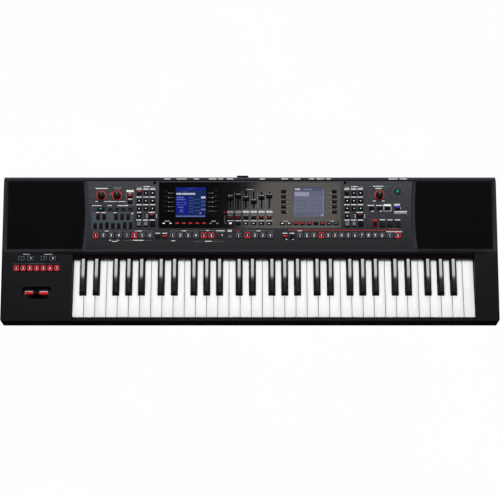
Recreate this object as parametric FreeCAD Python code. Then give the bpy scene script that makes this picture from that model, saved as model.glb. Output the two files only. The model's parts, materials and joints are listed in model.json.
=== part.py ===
import FreeCAD, Part
import math
import os

from FreeCAD import Placement, Rotation, Vector

# An arranger keyboard: 61 keys, a sloping control panel with two square displays,
# and a loudspeaker behind a grille at each end.
# Millimetres. X runs right, Y from the player to the back, Z up. While it is modelled, Y is 0
# at the front edge; at the end every piece is moved so that the origin lies under the middle
# of the keyboard, on the surface that it stands on.
# On the sloping top, u runs right, v up the slope from the panel's front edge, w out of it.

# Case
WIDTH = 1047.0
DEPTH = 306.4
ACROSS = WIDTH / 1047.0      # what is laid out across the case keeps its share of the width
ALONG = DEPTH / 306.4        # and what is laid out from front to back its share of the depth
SPAN = min(ACROSS, ALONG)
SLOPE = 7.5                  # degrees
FRONT_TOP_Z = 52.0           # top of the end blocks at the front edge
FRONT_UNDERCUT = 0.3         # the front face leans in by this much
PANEL_FRONT_Y = 148.5 * ALONG  # where the control panel starts, behind the keys
TOP_LENGTH = 150.0 * ALONG   # up the slope from there to the rear bevel
REAR_BEVEL_DROP = 6.0
REAR_EDGE = 9.1              # the rear panel's top lies under the rear edge by this much
PARTING_Z = 26.0             # joint between upper and lower case
WALL = 3.0
TOP_WALL = 5.0
FLOOR = 3.0
EDGE_RADIUS = 2.5
BOTTOM_CHAMFER = 2.5
FOOT_HEIGHT = 6.0
FOOT_RADIUS = 12.0
FOOT_FACETS = 16
FOOT_INSET_X = 70.0
FOOT_INSET_Y = 45.0
RIB = 2.0                    # ribs on the floor, under the key bed and the main board
BED_RIBS_X = (-330.0, -140.0, 50.0, 240.0, 430.0)
BOARD_RIBS_X = (-185.0, -25.0, 115.0, 235.0, 321.0)
BOARD_RIBS_V = (8.0, 36.0)   # from the front edge of the main board

# Keys
KEY_PITCH = 23.5 * ACROSS
KEY_GAP = 1.0
OCTAVES = 5
KEY_LEFT = -372.5 * ACROSS   # left side of the lowest key
KEY_SIDE_GAP = 1.5
KEY_FRONT_Y = 8.0
KEY_TOP_Z = 50.0
KEY_HEIGHT = 14.0
KEY_LIP = 4.0                # the front face hangs below the sides by this much
KEY_SKIN = 2.0
KEY_TOP_SKIN = 2.5
KEY_EDGE = 1.2
KEY_DIP = 10.0               # travel of a white key at its front
HEAD_LENGTH = 46.6 * ALONG
BLACK_SETBACK = 47.6 * ALONG  # from the front of a white key to the foot of a black one
BLACK_RISE = 11.0
BLACK_BASE = 13.0 * ACROSS
BLACK_TOP = 10.0 * ACROSS
BLACK_NOSE = 3.7             # the front of a black key leans back by this much
BLACK_TAIL = 10.0 * ACROSS
NOTCH_CLEARANCE = 1.0
PIVOT_Y = 190.0 * ALONG
PIVOT_RADIUS = 2.5
PIVOT_CLEARANCE = 0.1
PIVOT_OVERHANG = 5.0
PIVOT_BLOCK = 17.0           # solid end of a key
WHITE_KEYS = ("c", "d", "e", "f", "g", "a", "b")
# Black keys: the white key edge in the octave that each stands over, and its offset from it
BLACK_KEYS = {
    "c_sharp": (1, -2.3),
    "d_sharp": (2, 2.3),
    "f_sharp": (4, -3.5),
    "g_sharp": (5, 0.0),
    "a_sharp": (6, 3.5),
}

# Front rail, and the lip and felt strip over the back of the keys
RAIL_DEPTH = 6.5
RAIL_TOP_Z = 46.0
LIP_Y = 139.5 * ALONG
LIP_Z = 65.5
LIP_EDGE = 1.3
LIP_BACK = 7.0               # flat underside of the lip, which the felt strip is glued to
STRIP_REACH = 7.0            # the felt strip stands this far out of the lip
STRIP_THICKNESS = 1.0
STRIP_SLOPE = 14.0
BLACK_UNDER_LIP = 2.5        # black keys run this far under the lip

# Key bed
CHASSIS_FRONT_Y = 20.0
CHASSIS_Z = 12.0
CHASSIS_PLATE = 2.5
CHASSIS_SIDE_GAP = 1.0
PIVOT_BEAM = 10.0
PIVOT_BEAM_DROP = 1.2        # the beam's top lies under the pivot line by this much
STOP_RAIL = 8.0
WHITE_STOP_Y = 28.0
BLACK_STOP_Y = 64.0 * ALONG
FELT = 3.0
FELT_CLEARANCE = 0.3
CONTACT_Y = 86.0 * ALONG
CONTACT_DEPTH = 34.0 * ALONG
CONTACT_RIB = 3.0
CONTACT_Z = 22.0
BOARD = 1.6
RUBBER_WIDTH = 12.0
RUBBER_HEIGHT = 6.5
RUBBER_FOOT = 1.0
SPRING_Y = 150.0 * ALONG
SPRING_FOOT = 11.0
SPRING_REACH = 8.0           # the tip of a spring lies this far in front of the pivot
SPRING_GAP = 0.55
SPRING_SHEET = 0.5
SPRING_WIDTH = 5.0

# Control panel
PANEL_V0 = 2.0
PANEL_REAR_GAP = 0.7         # from the panel's rear edge to the bevel
PANEL_V1 = TOP_LENGTH - PANEL_REAR_GAP
PANEL_HALF = 346.0 * ACROSS  # half width at its front and back
PANEL_WAIST = 4.0            # its sides bow in by this much
PANEL_SHEET = 2.0
PANEL_LEDGE = 2.5
PANEL_CLEARANCE = 0.25
POST = 5.0
POST_INSET = (12.0, 9.0, 11.3)  # from the panel's ends, its front and its back
BOARD_MARGIN = 5.0

# Loudspeakers
GRILLE_MARGIN = 9.7          # from the end of the case
GRILLE_RIB = 8.0             # between a grille and the panel
GRILLE_BOW = 5.0             # its inner side bows out by this much
GRILLE_V0 = 1.5
GRILLE_REAR_GAP = 1.4
GRILLE_V1 = TOP_LENGTH - GRILLE_REAR_GAP
GRILLE_SHEET = 1.6
GRILLE_RECESS = 2.8
GRILLE_CLEARANCE = 0.3
SPEAKER_V = 80.0 * ALONG
SPEAKER_FACETS = 24
CONE_RADIUS = 44.0 * SPAN
CONE_DEPTH = 17.0
CONE_SHEET = 1.0
CONE_CLEARANCE = 0.6
DUST_CAP_RADIUS = 13.0 * SPAN
FRAME_RADIUS = 53.0 * SPAN
FRAME_FLANGE = 2.0
FRAME_DEPTH = 22.0
FRAME_SHEET = 1.5
MAGNET_RADIUS = 28.0 * SPAN
MAGNET_DEPTH = 12.0

# Display overlay and the two displays
OVERLAY_HALF = 193.0 * ACROSS
OVERLAY_V0 = 47.0 * ALONG
OVERLAY_RIM = 3.1            # the panel's strip behind the overlay
OVERLAY_V1 = PANEL_V1 - OVERLAY_RIM
OVERLAY_FLANGE = 1.5
OVERLAY_LAP = 3.0
LCD_U = 125.5
LCD_V = 103.0 * ALONG
LCD_SIZE = 65.0 * SPAN
LCD_SINK = 0.6
LCD_CLEARANCE = 0.2
LCD_RIM = 4.5                # the frame is wider than the window all round
LCD_FRAME = LCD_SIZE + 2 * LCD_RIM
LCD_DEPTH = 9.0

# Buttons. A row is the u of its first and last button, their number, v, and their size,
# all at the width and depth that ACROSS and ALONG refer to
BUTTON_RISE = 2.2
BUTTON_DROP = 4.0
BUTTON_TRAVEL = 1.2
BUTTON_SPARE = 0.2           # left under a button that is pressed
BUTTON_CLEARANCE = 0.25
BUTTON_TAPER = 0.5
CHEEK_DROP = 1.5             # buttons of the end block reach this far below its wall
CHEEK_MARGIN = 8.0
CHEEK_V = -17.8
CHEEK_SIZE = (14.6, 10.2)
CHEEK_ROWS = ((-481.0, -461.5, 2, CHEEK_V, CHEEK_SIZE), (-433.8, -415.0, 2, CHEEK_V, CHEEK_SIZE))
PAD_ROWS = ((-490.8, -405.6, 7, -38.8, (11.3, 12.8)),)
NUMBER_V = 31.5
NUMBER_SIZE = (13.2, 13.4)
TONE_SIZE = (11.8, 13.4)
START_SIZE = (15.2, 13.4)
ROW_V = 28.5
ROW_SIZE = (10.2, 8.6)
RHYTHM_ROWS = (
    (-326.0, -277.0, 4, NUMBER_V, NUMBER_SIZE),
    (-259.7, -211.8, 4, NUMBER_V, NUMBER_SIZE),
    (-194.6, -180.0, 2, ROW_V, ROW_SIZE),
    (-163.4, -114.3, 4, NUMBER_V, NUMBER_SIZE),
    (-97.4, -81.4, 2, NUMBER_V, NUMBER_SIZE),
    (-61.9, -61.9, 1, NUMBER_V, START_SIZE),
    (-42.5, -42.5, 1, ROW_V, ROW_SIZE),
    (-23.7, -23.7, 1, NUMBER_V, NUMBER_SIZE),
    (-5.3, 43.1, 4, NUMBER_V, NUMBER_SIZE),
)
TONE_ROWS = (
    (74.4, 89.0, 2, ROW_V, ROW_SIZE),
    (105.7, 135.0, 3, NUMBER_V, TONE_SIZE),
    (151.1, 279.0, 10, NUMBER_V, TONE_SIZE),
    (295.7, 312.6, 2, NUMBER_V, NUMBER_SIZE),
)
STYLE_SIZE = (10.0, 7.6)
STYLE_WIDE = (15.6, 7.6)
STYLE_TALL = (8.3, 13.4)
STYLE_LONG = (8.2, 15.0)
STYLE_ROWS = (
    (-254.0, -254.0, 1, 116.0, STYLE_SIZE),
    (-254.0, -254.0, 1, 103.3, STYLE_SIZE),
    (-315.8, -315.8, 1, 88.0, STYLE_WIDE),
    (-296.0, -254.0, 4, 88.0, STYLE_SIZE),
    (-321.4, -308.4, 2, 71.4, STYLE_TALL),
    (-283.4, -257.8, 3, 71.4, STYLE_TALL),
    (-327.5, -252.3, 7, 52.9, STYLE_LONG),
)
RIGHT_SIZE = (10.4, 8.2)
RIGHT_TALL = (11.6, 13.0)
RIGHT_ROWS = (
    (258.4, 291.9, 3, 89.9, RIGHT_SIZE),
    (313.7, 313.7, 1, 89.9, RIGHT_SIZE),
    (264.5, 312.8, 4, 55.5, RIGHT_TALL),
)
# A menu block, from the middle of its columns
MENU_U = 220.6
MENU_SIZE = (10.0, 10.0)
MENU_WIDE = (13.4, 10.0)
EXIT_SIZE = (10.6, 12.8)
MENU_ROWS = (
    (-14.2, 14.2, 3, 122.7, MENU_SIZE),
    (-14.2, 14.2, 3, 106.1, MENU_SIZE),
    (-14.2, 14.2, 3, 89.5, MENU_SIZE),
    (-14.2, -14.2, 1, 73.0, MENU_SIZE),
    (12.5, 12.5, 1, 73.0, MENU_WIDE),
    (-14.2, 14.2, 3, 56.0, EXIT_SIZE),
)
# The buttons round a display, from its middle: one row below it and a column on either side
SOFT_SIZE = (10.2, 7.2)
SOFT_ROW = (-56.6, 56.6, 9, 56.8, SOFT_SIZE)
SOFT_U = 53.7
SOFT_V = (81.8, 126.0)
SOFT_COUNT = 5
MIXER_SIZE = (10.2, 6.6)
MIXER_V = (69.3, 56.9)
POWER_U = 313.5 * ACROSS
POWER_V = 126.5 * ALONG
POWER_RADIUS = 6.8
POWER_FACETS = 24

# Rotary knobs and slide controls
KNOBS = {
    "volume_knob": (-315.0, 116.5),
    "balance_knob": (-281.5, 116.5),
    "mic_level_knob": (274.8, 117.5),
}
KNOB_RADIUS = 7.6
KNOB_HEIGHT = 13.0
KNOB_SHOULDER = 1.4
KNOB_LIFT = 0.8              # gap between a knob and the panel
KNOB_FACETS = 18
SHAFT_RADIUS = 3.0
SHAFT_CLEARANCE = 0.08
SHAFT_REACH = 6.0
HOLE_FACETS = 16
SHAFT_HOLE = 0.3             # the panel clears a shaft by this much
POT_SIZE = 12.0
POT_DEPTH = 8.0
CUTOUT_CLEARANCE = 0.6
SLIDER_COUNT = 6
SLIDER_PITCH = 16.5 * ACROSS
SLIDER_V = 107.5 * ALONG
SLIDER_TRAVEL = 30.0 * ALONG
SLIDER_REST = (0.17, 0.28, 0.1, -0.12, 0.18, 0.27)  # from the middle, as a share of the travel
SLIDER_CAP = (13.0, 9.6)
SLIDER_CAP_HEIGHT = 8.0
SLIDER_CAP_LIFT = 0.6
SLIDER_CAP_TAPER = 1.4
SLIDER_STEM = (2.0, 5.0)
SLIDER_SLOT_CLEARANCE = 0.6
SLIDER_POT_WIDTH = 9.0
SLIDER_POT_DEPTH = 8.0
SLIDER_POT_END = 6.0
SLIDER_REACH = 5.0           # a stem reaches this far into its potentiometer

# Music rest sockets
REST_U = 202.4 * ACROSS
REST_INSET = 4.3             # from the panel's rear edge
REST_V = PANEL_V1 - REST_INSET
REST_BORE = 2.8
REST_WALL = 1.4
REST_DEPTH = 18.0
REST_MOUTH = 0.4             # the panel's hole is larger all round by this much

# Bend and modulation lever
LEVER_U = -448.0 * ACROSS
LEVER_V = -90.8 * ALONG
WELL_SIZE = (61.0, 26.0)
WELL_RADIUS = 6.0
WELL_SINK = 12.0
WELL_WALL = 2.0
WELL_RIM = 4.0
WELL_BACK = 18.0             # the well's floor reaches this far behind it
LEVER_LENGTH = 48.0
LEVER_HUB = 13.0
LEVER_DEPTH = 8.0
LEVER_OFFSET = -1.0          # the bar stands this far from the middle of the well
LEVER_TOP = 5.0
LEVER_BOTTOM = -6.0
LEVER_CHAMFER = 1.6
LEVER_STEM = (8.0, 4.0)
BEND_ANGLE = 12.0            # degrees each way
BEND_ARM = 20.0              # the bend axis stands this far behind the bar
PUSH_ANGLE = 10.0            # degrees, away from the player
PUSH_W = -21.0
EYE_RADIUS = 5.0
PIN_RADIUS = 2.5
PIN_CLEARANCE = 0.08
YOKE_RADIUS = 6.0
YOKE_GAP = 0.4               # between the yoke and the floor of the well
YOKE_CHEEK = 3.0
YOKE_SIDE_GAP = 0.3
SLOT_MARGIN = 1.2

# Rear connectors
JACK_Z = 44.0
JACK_SINK = 0.5              # the connectors' faces lie this far inside the rear face
PHONE_X = (-175.5, -152.0, -137.0, -113.8, 133.0, 152.0, 170.5, 312.7)
PHONE_BORE = 3.2
PHONE_LENGTH = 22.0
PHONE_BODY = (12.6, 26.0, 13.0)
DATA_X = (-83.0, -60.5)
DATA_BORE = 7.6
DATA_SINK = 3.0
DATA_BODY = (19.6, 16.0, 19.0)
USB_A_X = (-40.4, 102.0)
USB_A_MOUTH = (13.0, 5.6)
USB_A_TONGUE = (11.0, 1.8)
USB_B_X = (75.5,)
USB_B_MOUTH = (8.6, 7.8)
USB_B_TONGUE = (5.6, 3.2)
USB_WALL = 0.8
USB_DEPTH = 12.0
USB_BACK = 2.0
DC_X = 26.6
DC_BORE = 3.0
DC_PIN = 1.0
DC_DEPTH = 9.0
DC_BODY = (11.0, 14.0, 11.0)
MOUTH_CLEARANCE = 0.4
MAIN_BOARD_X = (-188.0, 324.0)
MAIN_BOARD_DEPTH = 69.4
HOOK_X = -15.5
HOOK_WIDTH = 24.5
HOOK_Z = (61.0, 75.0)
HOOK_SLOT = 4.6
HOOK_SHEET = 1.7

# Places that follow from the sizes above
FAR = 500.0
HALF = WIDTH / 2
GRILLE_OUTER = HALF - GRILLE_MARGIN
GRILLE_INNER = PANEL_HALF + GRILLE_RIB
SPEAKER_U = (GRILLE_OUTER + GRILLE_INNER) / 2
LCD_PLACES = [(side * LCD_U * ACROSS, LCD_V) for side in (-1, 1)]
KNOB_PLACES = {name: (u * ACROSS, v * ALONG) for name, (u, v) in KNOBS.items()}
TAN = math.tan(math.radians(SLOPE))
COS = math.cos(math.radians(SLOPE))
PANEL_REAR_Y = PANEL_FRONT_Y + TOP_LENGTH * COS
FLOOR_Z = FOOT_HEIGHT + FLOOR
KEY_RIGHT = KEY_LEFT + KEY_PITCH * (len(WHITE_KEYS) * OCTAVES + 1) - KEY_GAP
WELL_X0 = KEY_LEFT - KEY_SIDE_GAP
WELL_X1 = KEY_RIGHT + KEY_SIDE_GAP
KEY_BOTTOM_Z = KEY_TOP_Z - KEY_HEIGHT
KEY_REAR_Y = PIVOT_Y + PIVOT_OVERHANG
CHASSIS_TOP_Z = CHASSIS_Z + CHASSIS_PLATE
CHASSIS_REAR_Y = PIVOT_Y + PIVOT_BEAM / 2
BOARD_W = -(BUTTON_DROP + BUTTON_TRAVEL + BUTTON_SPARE)
CHEEK_W = -(TOP_WALL + CHEEK_DROP)
CHEEK_BOARD_W = CHEEK_W - BUTTON_TRAVEL - BUTTON_SPARE
OVERLAY_W = -(PANEL_SHEET + OVERLAY_FLANGE)
JACK_FACE_Y = DEPTH - JACK_SINK
REAR_WALL_Y = DEPTH - WALL
MAIN_BOARD_REAR = REAR_WALL_Y - CUTOUT_CLEARANCE
MAIN_BOARD_Y = MAIN_BOARD_REAR - MAIN_BOARD_DEPTH
MAIN_BOARD_Z = JACK_Z - PHONE_BODY[2] / 2 - BOARD
HOOK_OUT = 2 * HOOK_SHEET + HOOK_SLOT
LIP_UNDER_Z = LIP_Z - LIP_EDGE
STRIP_TAN = math.tan(math.radians(STRIP_SLOPE))
BAR_V = LEVER_V + LEVER_OFFSET
YOKE_W = -(TOP_WALL + WELL_SINK) - YOKE_GAP
SHIFT = Vector(0, -(DEPTH + HOOK_OUT) / 2, 0)


def top_z(y):
    """Height of the sloping top over y."""
    return FRONT_TOP_Z + y * TAN


REAR_PANEL_TOP_Z = top_z(PANEL_REAR_Y) - REAR_BEVEL_DROP - REAR_EDGE


def front_y(z):
    """The leaning front face at height z."""
    return FRONT_UNDERCUT * (FRONT_TOP_Z - z) / (FRONT_TOP_Z - FOOT_HEIGHT)


def strip_z(y):
    """Underside of the lip, which is also the top of the felt strip."""
    return LIP_UNDER_Z + (y - LIP_Y) * STRIP_TAN


TOP_FRAME = Placement(Vector(0, PANEL_FRONT_Y, top_z(PANEL_FRONT_Y)), Rotation(Vector(1, 0, 0), SLOPE))


# Basic forms

def box(x0, x1, y0, y1, z0, z1):
    return Part.makeBox(x1 - x0, y1 - y0, z1 - z0, Vector(x0, y0, z0))


def block(u, v, size, w0, w1):
    """A box of size (along u, along v), centred on u and v."""
    return box(u - size[0] / 2, u + size[0] / 2, v - size[1] / 2, v + size[1] / 2, w0, w1)


def grown(size, by):
    return (size[0] + 2 * by, size[1] + 2 * by)


def taper(u, v, size, w0, w1, draw):
    """A block whose top is smaller than its foot by draw on every side."""
    half_u = size[0] / 2
    half_v = size[1] / 2
    wedge = Part.makeWedge(-half_u, w0, -half_v, draw - half_v, draw - half_u,
                           half_u, w1, half_v, half_v - draw, half_u - draw)
    wedge.rotate(Vector(0, 0, 0), Vector(1, 0, 0), 90)
    wedge.translate(Vector(u, v, 0))
    return wedge


def rod(radius, start, along, length):
    return Part.makeCylinder(radius, length, start, along)


def upright(radius, x, y, z0, z1):
    return rod(radius, Vector(x, y, z0), Vector(0, 0, 1), z1 - z0)


def outline(points):
    return Part.Face(Part.makePolygon(points + points[:1]))


def side_prism(profile, x0, x1):
    """A closed side profile of (y, z) points, pushed from x0 to x1."""
    return outline([Vector(x0, y, z) for y, z in profile]).extrude(Vector(x1 - x0, 0, 0))


def ring(facets, radius, u, v, w):
    """The corners of a regular polygon round u, v, whose sides lie at the given radius."""
    corner = radius / math.cos(math.pi / facets)
    angles = [2 * math.pi * i / facets for i in range(facets)]
    return [Vector(u + corner * math.cos(a), v + corner * math.sin(a), w) for a in angles]


def drum(facets, radius, u, v, w0, w1):
    """An upright drum with flat sides."""
    return outline(ring(facets, radius, u, v, w0)).extrude(Vector(0, 0, w1 - w0))


def frustum(facets, low, high, u, v):
    """A drum that widens or narrows, from one (radius, w) to another."""
    foot, head = [ring(facets, radius, u, v, w) for radius, w in (low, high)]
    faces = [outline(foot), outline(head)]
    for i in range(facets):
        faces.append(outline([foot[i - 1], foot[i], head[i], head[i - 1]]))
    return Part.makeSolid(Part.makeShell(faces))


def edges_where(shape, test):
    """The edges whose ends all pass a test."""
    return [e for e in shape.Edges if all(test(p.Point) for p in e.Vertexes)]


def near(a, b):
    return abs(a - b) < 1e-6


def joined(first, *others):
    return first.fuse(list(others)).removeSplitter()


def laid(shape):
    """A shape modelled in u, v, w, laid on the sloping top."""
    copy = shape.copy()
    copy.Placement = TOP_FRAME.multiply(copy.Placement)
    return copy


def laid_all(shapes):
    return [laid(s) for s in shapes]


# Places of the buttons: each entry is (u, v, size)

def spread(first, last, count):
    number = round(count)
    step = (last - first) / max(number - 1, 1)
    return [first + i * step for i in range(number)]


def placed(u, v, size):
    """A button's place and size, at its share of the case."""
    return (u * ACROSS, v * ALONG, (size[0] * ACROSS, size[1] * ALONG))


def row_places(rows, middle=0.0):
    """The buttons of several rows, measured from the middle of their block."""
    return [placed(middle + u, v, size) for first, last, count, v, size in rows for u in spread(first, last, count)]


def display_places(middle):
    """The row below a display and the columns on either side of it."""
    sides = [placed(middle + side * SOFT_U, v, SOFT_SIZE) for side in (-1, 1) for v in spread(*SOFT_V, SOFT_COUNT)]
    return row_places((SOFT_ROW,), middle) + sides


def mixer_places():
    """Two buttons under each slide."""
    return [(u,) + placed(u, v, MIXER_SIZE)[1:] for v in MIXER_V for u in slider_places()]


def slider_places():
    reach = SLIDER_PITCH * (SLIDER_COUNT - 1) / 2
    return spread(-reach, reach, SLIDER_COUNT)


PANEL_BUTTONS = {
    "style_buttons": row_places(STYLE_ROWS),
    "left_menu_buttons": row_places(MENU_ROWS, -MENU_U),
    "right_menu_buttons": row_places(MENU_ROWS, MENU_U),
    "rhythm_row_buttons": row_places(RHYTHM_ROWS),
    "tone_row_buttons": row_places(TONE_ROWS),
    "right_block_buttons": row_places(RIGHT_ROWS),
}
OVERLAY_BUTTONS = {
    "left_display_buttons": display_places(-LCD_U),
    "right_display_buttons": display_places(LCD_U),
    "mixer_buttons": mixer_places(),
}
CHEEK_BUTTONS = {"cheek_buttons": row_places(CHEEK_ROWS), "lit_pads": row_places(PAD_ROWS)}


def button_set(places, foot_w):
    caps = [taper(u, v, size, foot_w, BUTTON_RISE, BUTTON_TAPER) for u, v, size in places]
    return Part.makeCompound(laid_all(caps))


def button_holes(groups, w0):
    holes = []
    for places in groups.values():
        for u, v, size in places:
            holes.append(block(u, v, grown(size, BUTTON_CLEARANCE), w0, FAR))
    return holes


# Outlines on the top

def bowed(side, inner, bow, outer, v0, v1):
    """A sheet at one end of the top: a straight outer side and an inner side that is an arc."""
    low = Vector(side * inner, v0, 0)
    high = Vector(side * inner, v1, 0)
    middle = Vector(side * (inner - bow), (v0 + v1) / 2, 0)
    arc = Part.Arc(low, middle, high).toShape()
    rest = Part.makePolygon([high, Vector(side * outer, v1, 0), Vector(side * outer, v0, 0), low])
    return Part.Face(Part.Wire([arc] + rest.Edges))


def slab(face, w0, w1):
    lower = face.copy()
    lower.translate(Vector(0, 0, w0))
    return lower.extrude(Vector(0, 0, w1 - w0))


def grille_face(side, inset):
    return bowed(side, GRILLE_INNER + inset, GRILLE_BOW, GRILLE_OUTER - inset, GRILLE_V0 + inset, GRILLE_V1 - inset)


def panel_face(inset):
    half = PANEL_HALF - inset
    v0 = PANEL_V0 + inset
    v1 = PANEL_V1 - inset
    middle = (v0 + v1) / 2
    right = Part.Arc(Vector(half, v0, 0), Vector(half - PANEL_WAIST, middle, 0), Vector(half, v1, 0))
    left = Part.Arc(Vector(-half, v1, 0), Vector(PANEL_WAIST - half, middle, 0), Vector(-half, v0, 0))
    front = Part.makeLine(Vector(-half, v0, 0), Vector(half, v0, 0))
    back = Part.makeLine(Vector(half, v1, 0), Vector(-half, v1, 0))
    return Part.Face(Part.Wire([front, right.toShape(), back, left.toShape()]))


def rounded(u, v, size, radius, w0, w1):
    """A block with its upright corners rounded."""
    solid = block(u, v, size, w0, w1)
    corners = [e for e in solid.Edges if near(abs(e.tangentAt(e.FirstParameter).z), 1)]
    return solid.makeFillet(radius, corners)


# Case

def case_outer():
    """A prism across the whole width; its side edges and its front top edge are rounded."""
    solid = side_prism(upper_profile(), -HALF, HALF)
    edges = []
    for edge in solid.Edges:
        ends = [p.Point for p in edge.Vertexes]
        at_parting = all(near(p.z, PARTING_Z) for p in ends)
        at_rear_foot = any(near(p.y, DEPTH) and near(p.z, PARTING_Z) for p in ends)
        along_side = near(ends[0].x, ends[1].x) and not at_rear_foot
        along_front = all(near(p.y, 0) for p in ends)
        if not at_parting and (along_side or along_front):
            edges.append(edge)
    return solid.makeFillet(EDGE_RADIUS, edges)


def upper_profile():
    rear_z = top_z(PANEL_REAR_Y)
    return [(front_y(PARTING_Z), PARTING_Z), (0, FRONT_TOP_Z), (PANEL_REAR_Y, rear_z),
            (DEPTH, rear_z - REAR_BEVEL_DROP), (DEPTH, PARTING_Z)]


def roof_z(y):
    """Inside of the sloping top."""
    return top_z(y) - TOP_WALL / COS


def key_opening():
    profile = [(RAIL_DEPTH, 0), (RAIL_DEPTH, FAR), (PANEL_FRONT_Y, FAR), (PANEL_FRONT_Y, top_z(PANEL_FRONT_Y)),
               (LIP_Y, LIP_Z), (LIP_Y, 0)]
    return side_prism(profile, WELL_X0, WELL_X1)


def rear_hollow():
    """The room behind the keys, under the lip and the panel."""
    lip_back = LIP_Y + LIP_BACK
    rear = DEPTH - WALL
    roof_start = lip_back + WALL
    profile = [(LIP_Y, 0), (LIP_Y, LIP_UNDER_Z), (lip_back, strip_z(lip_back)), (roof_start, roof_z(roof_start)),
               (PANEL_REAR_Y - WALL, roof_z(PANEL_REAR_Y - WALL)),
               (rear, roof_z(PANEL_REAR_Y - WALL) - REAR_BEVEL_DROP), (rear, 0)]
    return side_prism(profile, WALL - HALF, HALF - WALL)


def block_hollow(x0, x1):
    """The room inside an end block, in front of the rear room."""
    front = front_y(PARTING_Z) + WALL
    back = PANEL_FRONT_Y + WALL
    return side_prism([(front, 0), (front, roof_z(front)), (back, roof_z(back)), (back, 0)], x0, x1)


def case_shell():
    """The whole upper shell, before it is parted into the deck, the two end blocks and the front rail."""
    solid = case_outer().cut([
        key_opening(),
        box(WELL_X0, WELL_X1, -FAR, RAIL_DEPTH, RAIL_TOP_Z, FAR),
        rear_hollow(),
        block_hollow(WALL - HALF, WELL_X0 - WALL),
        block_hollow(WELL_X1 + WALL, HALF - WALL),
    ])
    through = -2 * TOP_WALL
    cuts = [slab(panel_face(0), -PANEL_SHEET, FAR), slab(panel_face(PANEL_LEDGE), -FAR, FAR)]
    for side in (-1, 1):
        cuts.append(slab(grille_face(side, 0), -GRILLE_RECESS, FAR))
        cuts.append(drum(SPEAKER_FACETS, CONE_RADIUS, side * SPEAKER_U, SPEAKER_V, through, FAR))
        cuts.append(drum(HOLE_FACETS, REST_BORE + REST_WALL + REST_MOUTH, side * REST_U, REST_V, -FAR, 0))
    cuts += button_holes(CHEEK_BUTTONS, through)
    cuts.append(rounded(LEVER_U, LEVER_V, WELL_SIZE, WELL_RADIUS, through, FAR))
    post_v = CHEEK_V * ALONG
    posts = [laid(block(u, post_v, (POST, POST), CHEEK_BOARD_W, -TOP_WALL)) for u in cheek_post_places()]
    return joined(solid.cut(laid_all(cuts) + [rear_gap(FAR)]), *posts)


def rear_gap(reach):
    """The room for the rear panel, between the side walls and under the rear edge of the top."""
    return box(WALL - HALF, HALF - WALL, REAR_WALL_Y, reach, PARTING_Z, REAR_PANEL_TOP_Z)


def upper_case(shell):
    """The deck: all of the shell from the lip over the keys to the rear wall."""
    return shell.common(box(-HALF, HALF, LIP_Y, FAR, 0, FAR))


def end_blocks(shell):
    left = shell.common(box(-HALF, WELL_X0, -FAR, LIP_Y, 0, FAR))
    right = shell.common(box(WELL_X1, HALF, -FAR, LIP_Y, 0, FAR))
    return Part.makeCompound([left, right])


def front_rail(shell):
    """The low bar in front of the keys, between the end blocks."""
    return shell.common(box(WELL_X0, WELL_X1, -FAR, LIP_Y, 0, FAR))


def tub(inset, floor):
    """The form of the lower case, smaller all round by inset."""
    profile = [(front_y(floor) + inset, floor), (front_y(PARTING_Z) + inset, PARTING_Z),
               (DEPTH - inset, PARTING_Z), (DEPTH - inset, floor)]
    return side_prism(profile, inset - HALF, HALF - inset)


def bevelled(solid, floor):
    return solid.makeChamfer(BOTTOM_CHAMFER, edges_where(solid, lambda p: near(p.z, floor)))


def lower_case():
    """A tub with a bevelled floor, and ribs that carry the key bed and the main board."""
    outer = tub(0, FOOT_HEIGHT)
    corners = [e for e in outer.Edges if near(e.Vertexes[0].X, e.Vertexes[1].X)
               and all(p.Y < DEPTH / 2 for p in e.Vertexes)]
    outer = bevelled(outer.makeFillet(EDGE_RADIUS, corners), FOOT_HEIGHT)
    room = bevelled(tub(WALL, FLOOR_Z), FLOOR_Z)
    root = FOOT_HEIGHT + FLOOR / 2
    ribs = []
    for x in BED_RIBS_X:
        left = x * ACROSS
        ribs.append(box(left, left + RIB, CHASSIS_FRONT_Y, CHASSIS_REAR_Y, root, CHASSIS_Z))
    rib_ends = [MAIN_BOARD_Y + v for v in BOARD_RIBS_V]
    ribs += [box(x, x + RIB, *rib_ends, root, MAIN_BOARD_Z) for x in BOARD_RIBS_X]
    return joined(outer.cut(room), *ribs)


def foot_places():
    x = HALF - FOOT_INSET_X
    return [(side * x, y) for side in (-1, 0, 1) for y in (FOOT_INSET_Y, DEPTH - FOOT_INSET_Y)]


def feet():
    return Part.makeCompound([drum(FOOT_FACETS, FOOT_RADIUS, x, y, 0, FOOT_HEIGHT) for x, y in foot_places()])


def music_rest_sockets():
    sockets = []
    for side in (-1, 1):
        top = -PANEL_SHEET
        tube = drum(HOLE_FACETS, REST_BORE + REST_WALL, side * REST_U, REST_V, top - REST_DEPTH - REST_WALL, top)
        sockets.append(tube.cut(upright(REST_BORE, side * REST_U, REST_V, top - REST_DEPTH, FAR)))
    return Part.makeCompound(laid_all(sockets))


# Control panel, display overlay and what lies under them

def overlay_face(grow):
    """The overlay's outline; its flange laps under the panel at the front and the sides."""
    half = OVERLAY_HALF + grow
    v0 = OVERLAY_V0 - grow
    return outline([Vector(-half, v0, 0), Vector(half, v0, 0), Vector(half, OVERLAY_V1, 0),
                    Vector(-half, OVERLAY_V1, 0)])


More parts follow.
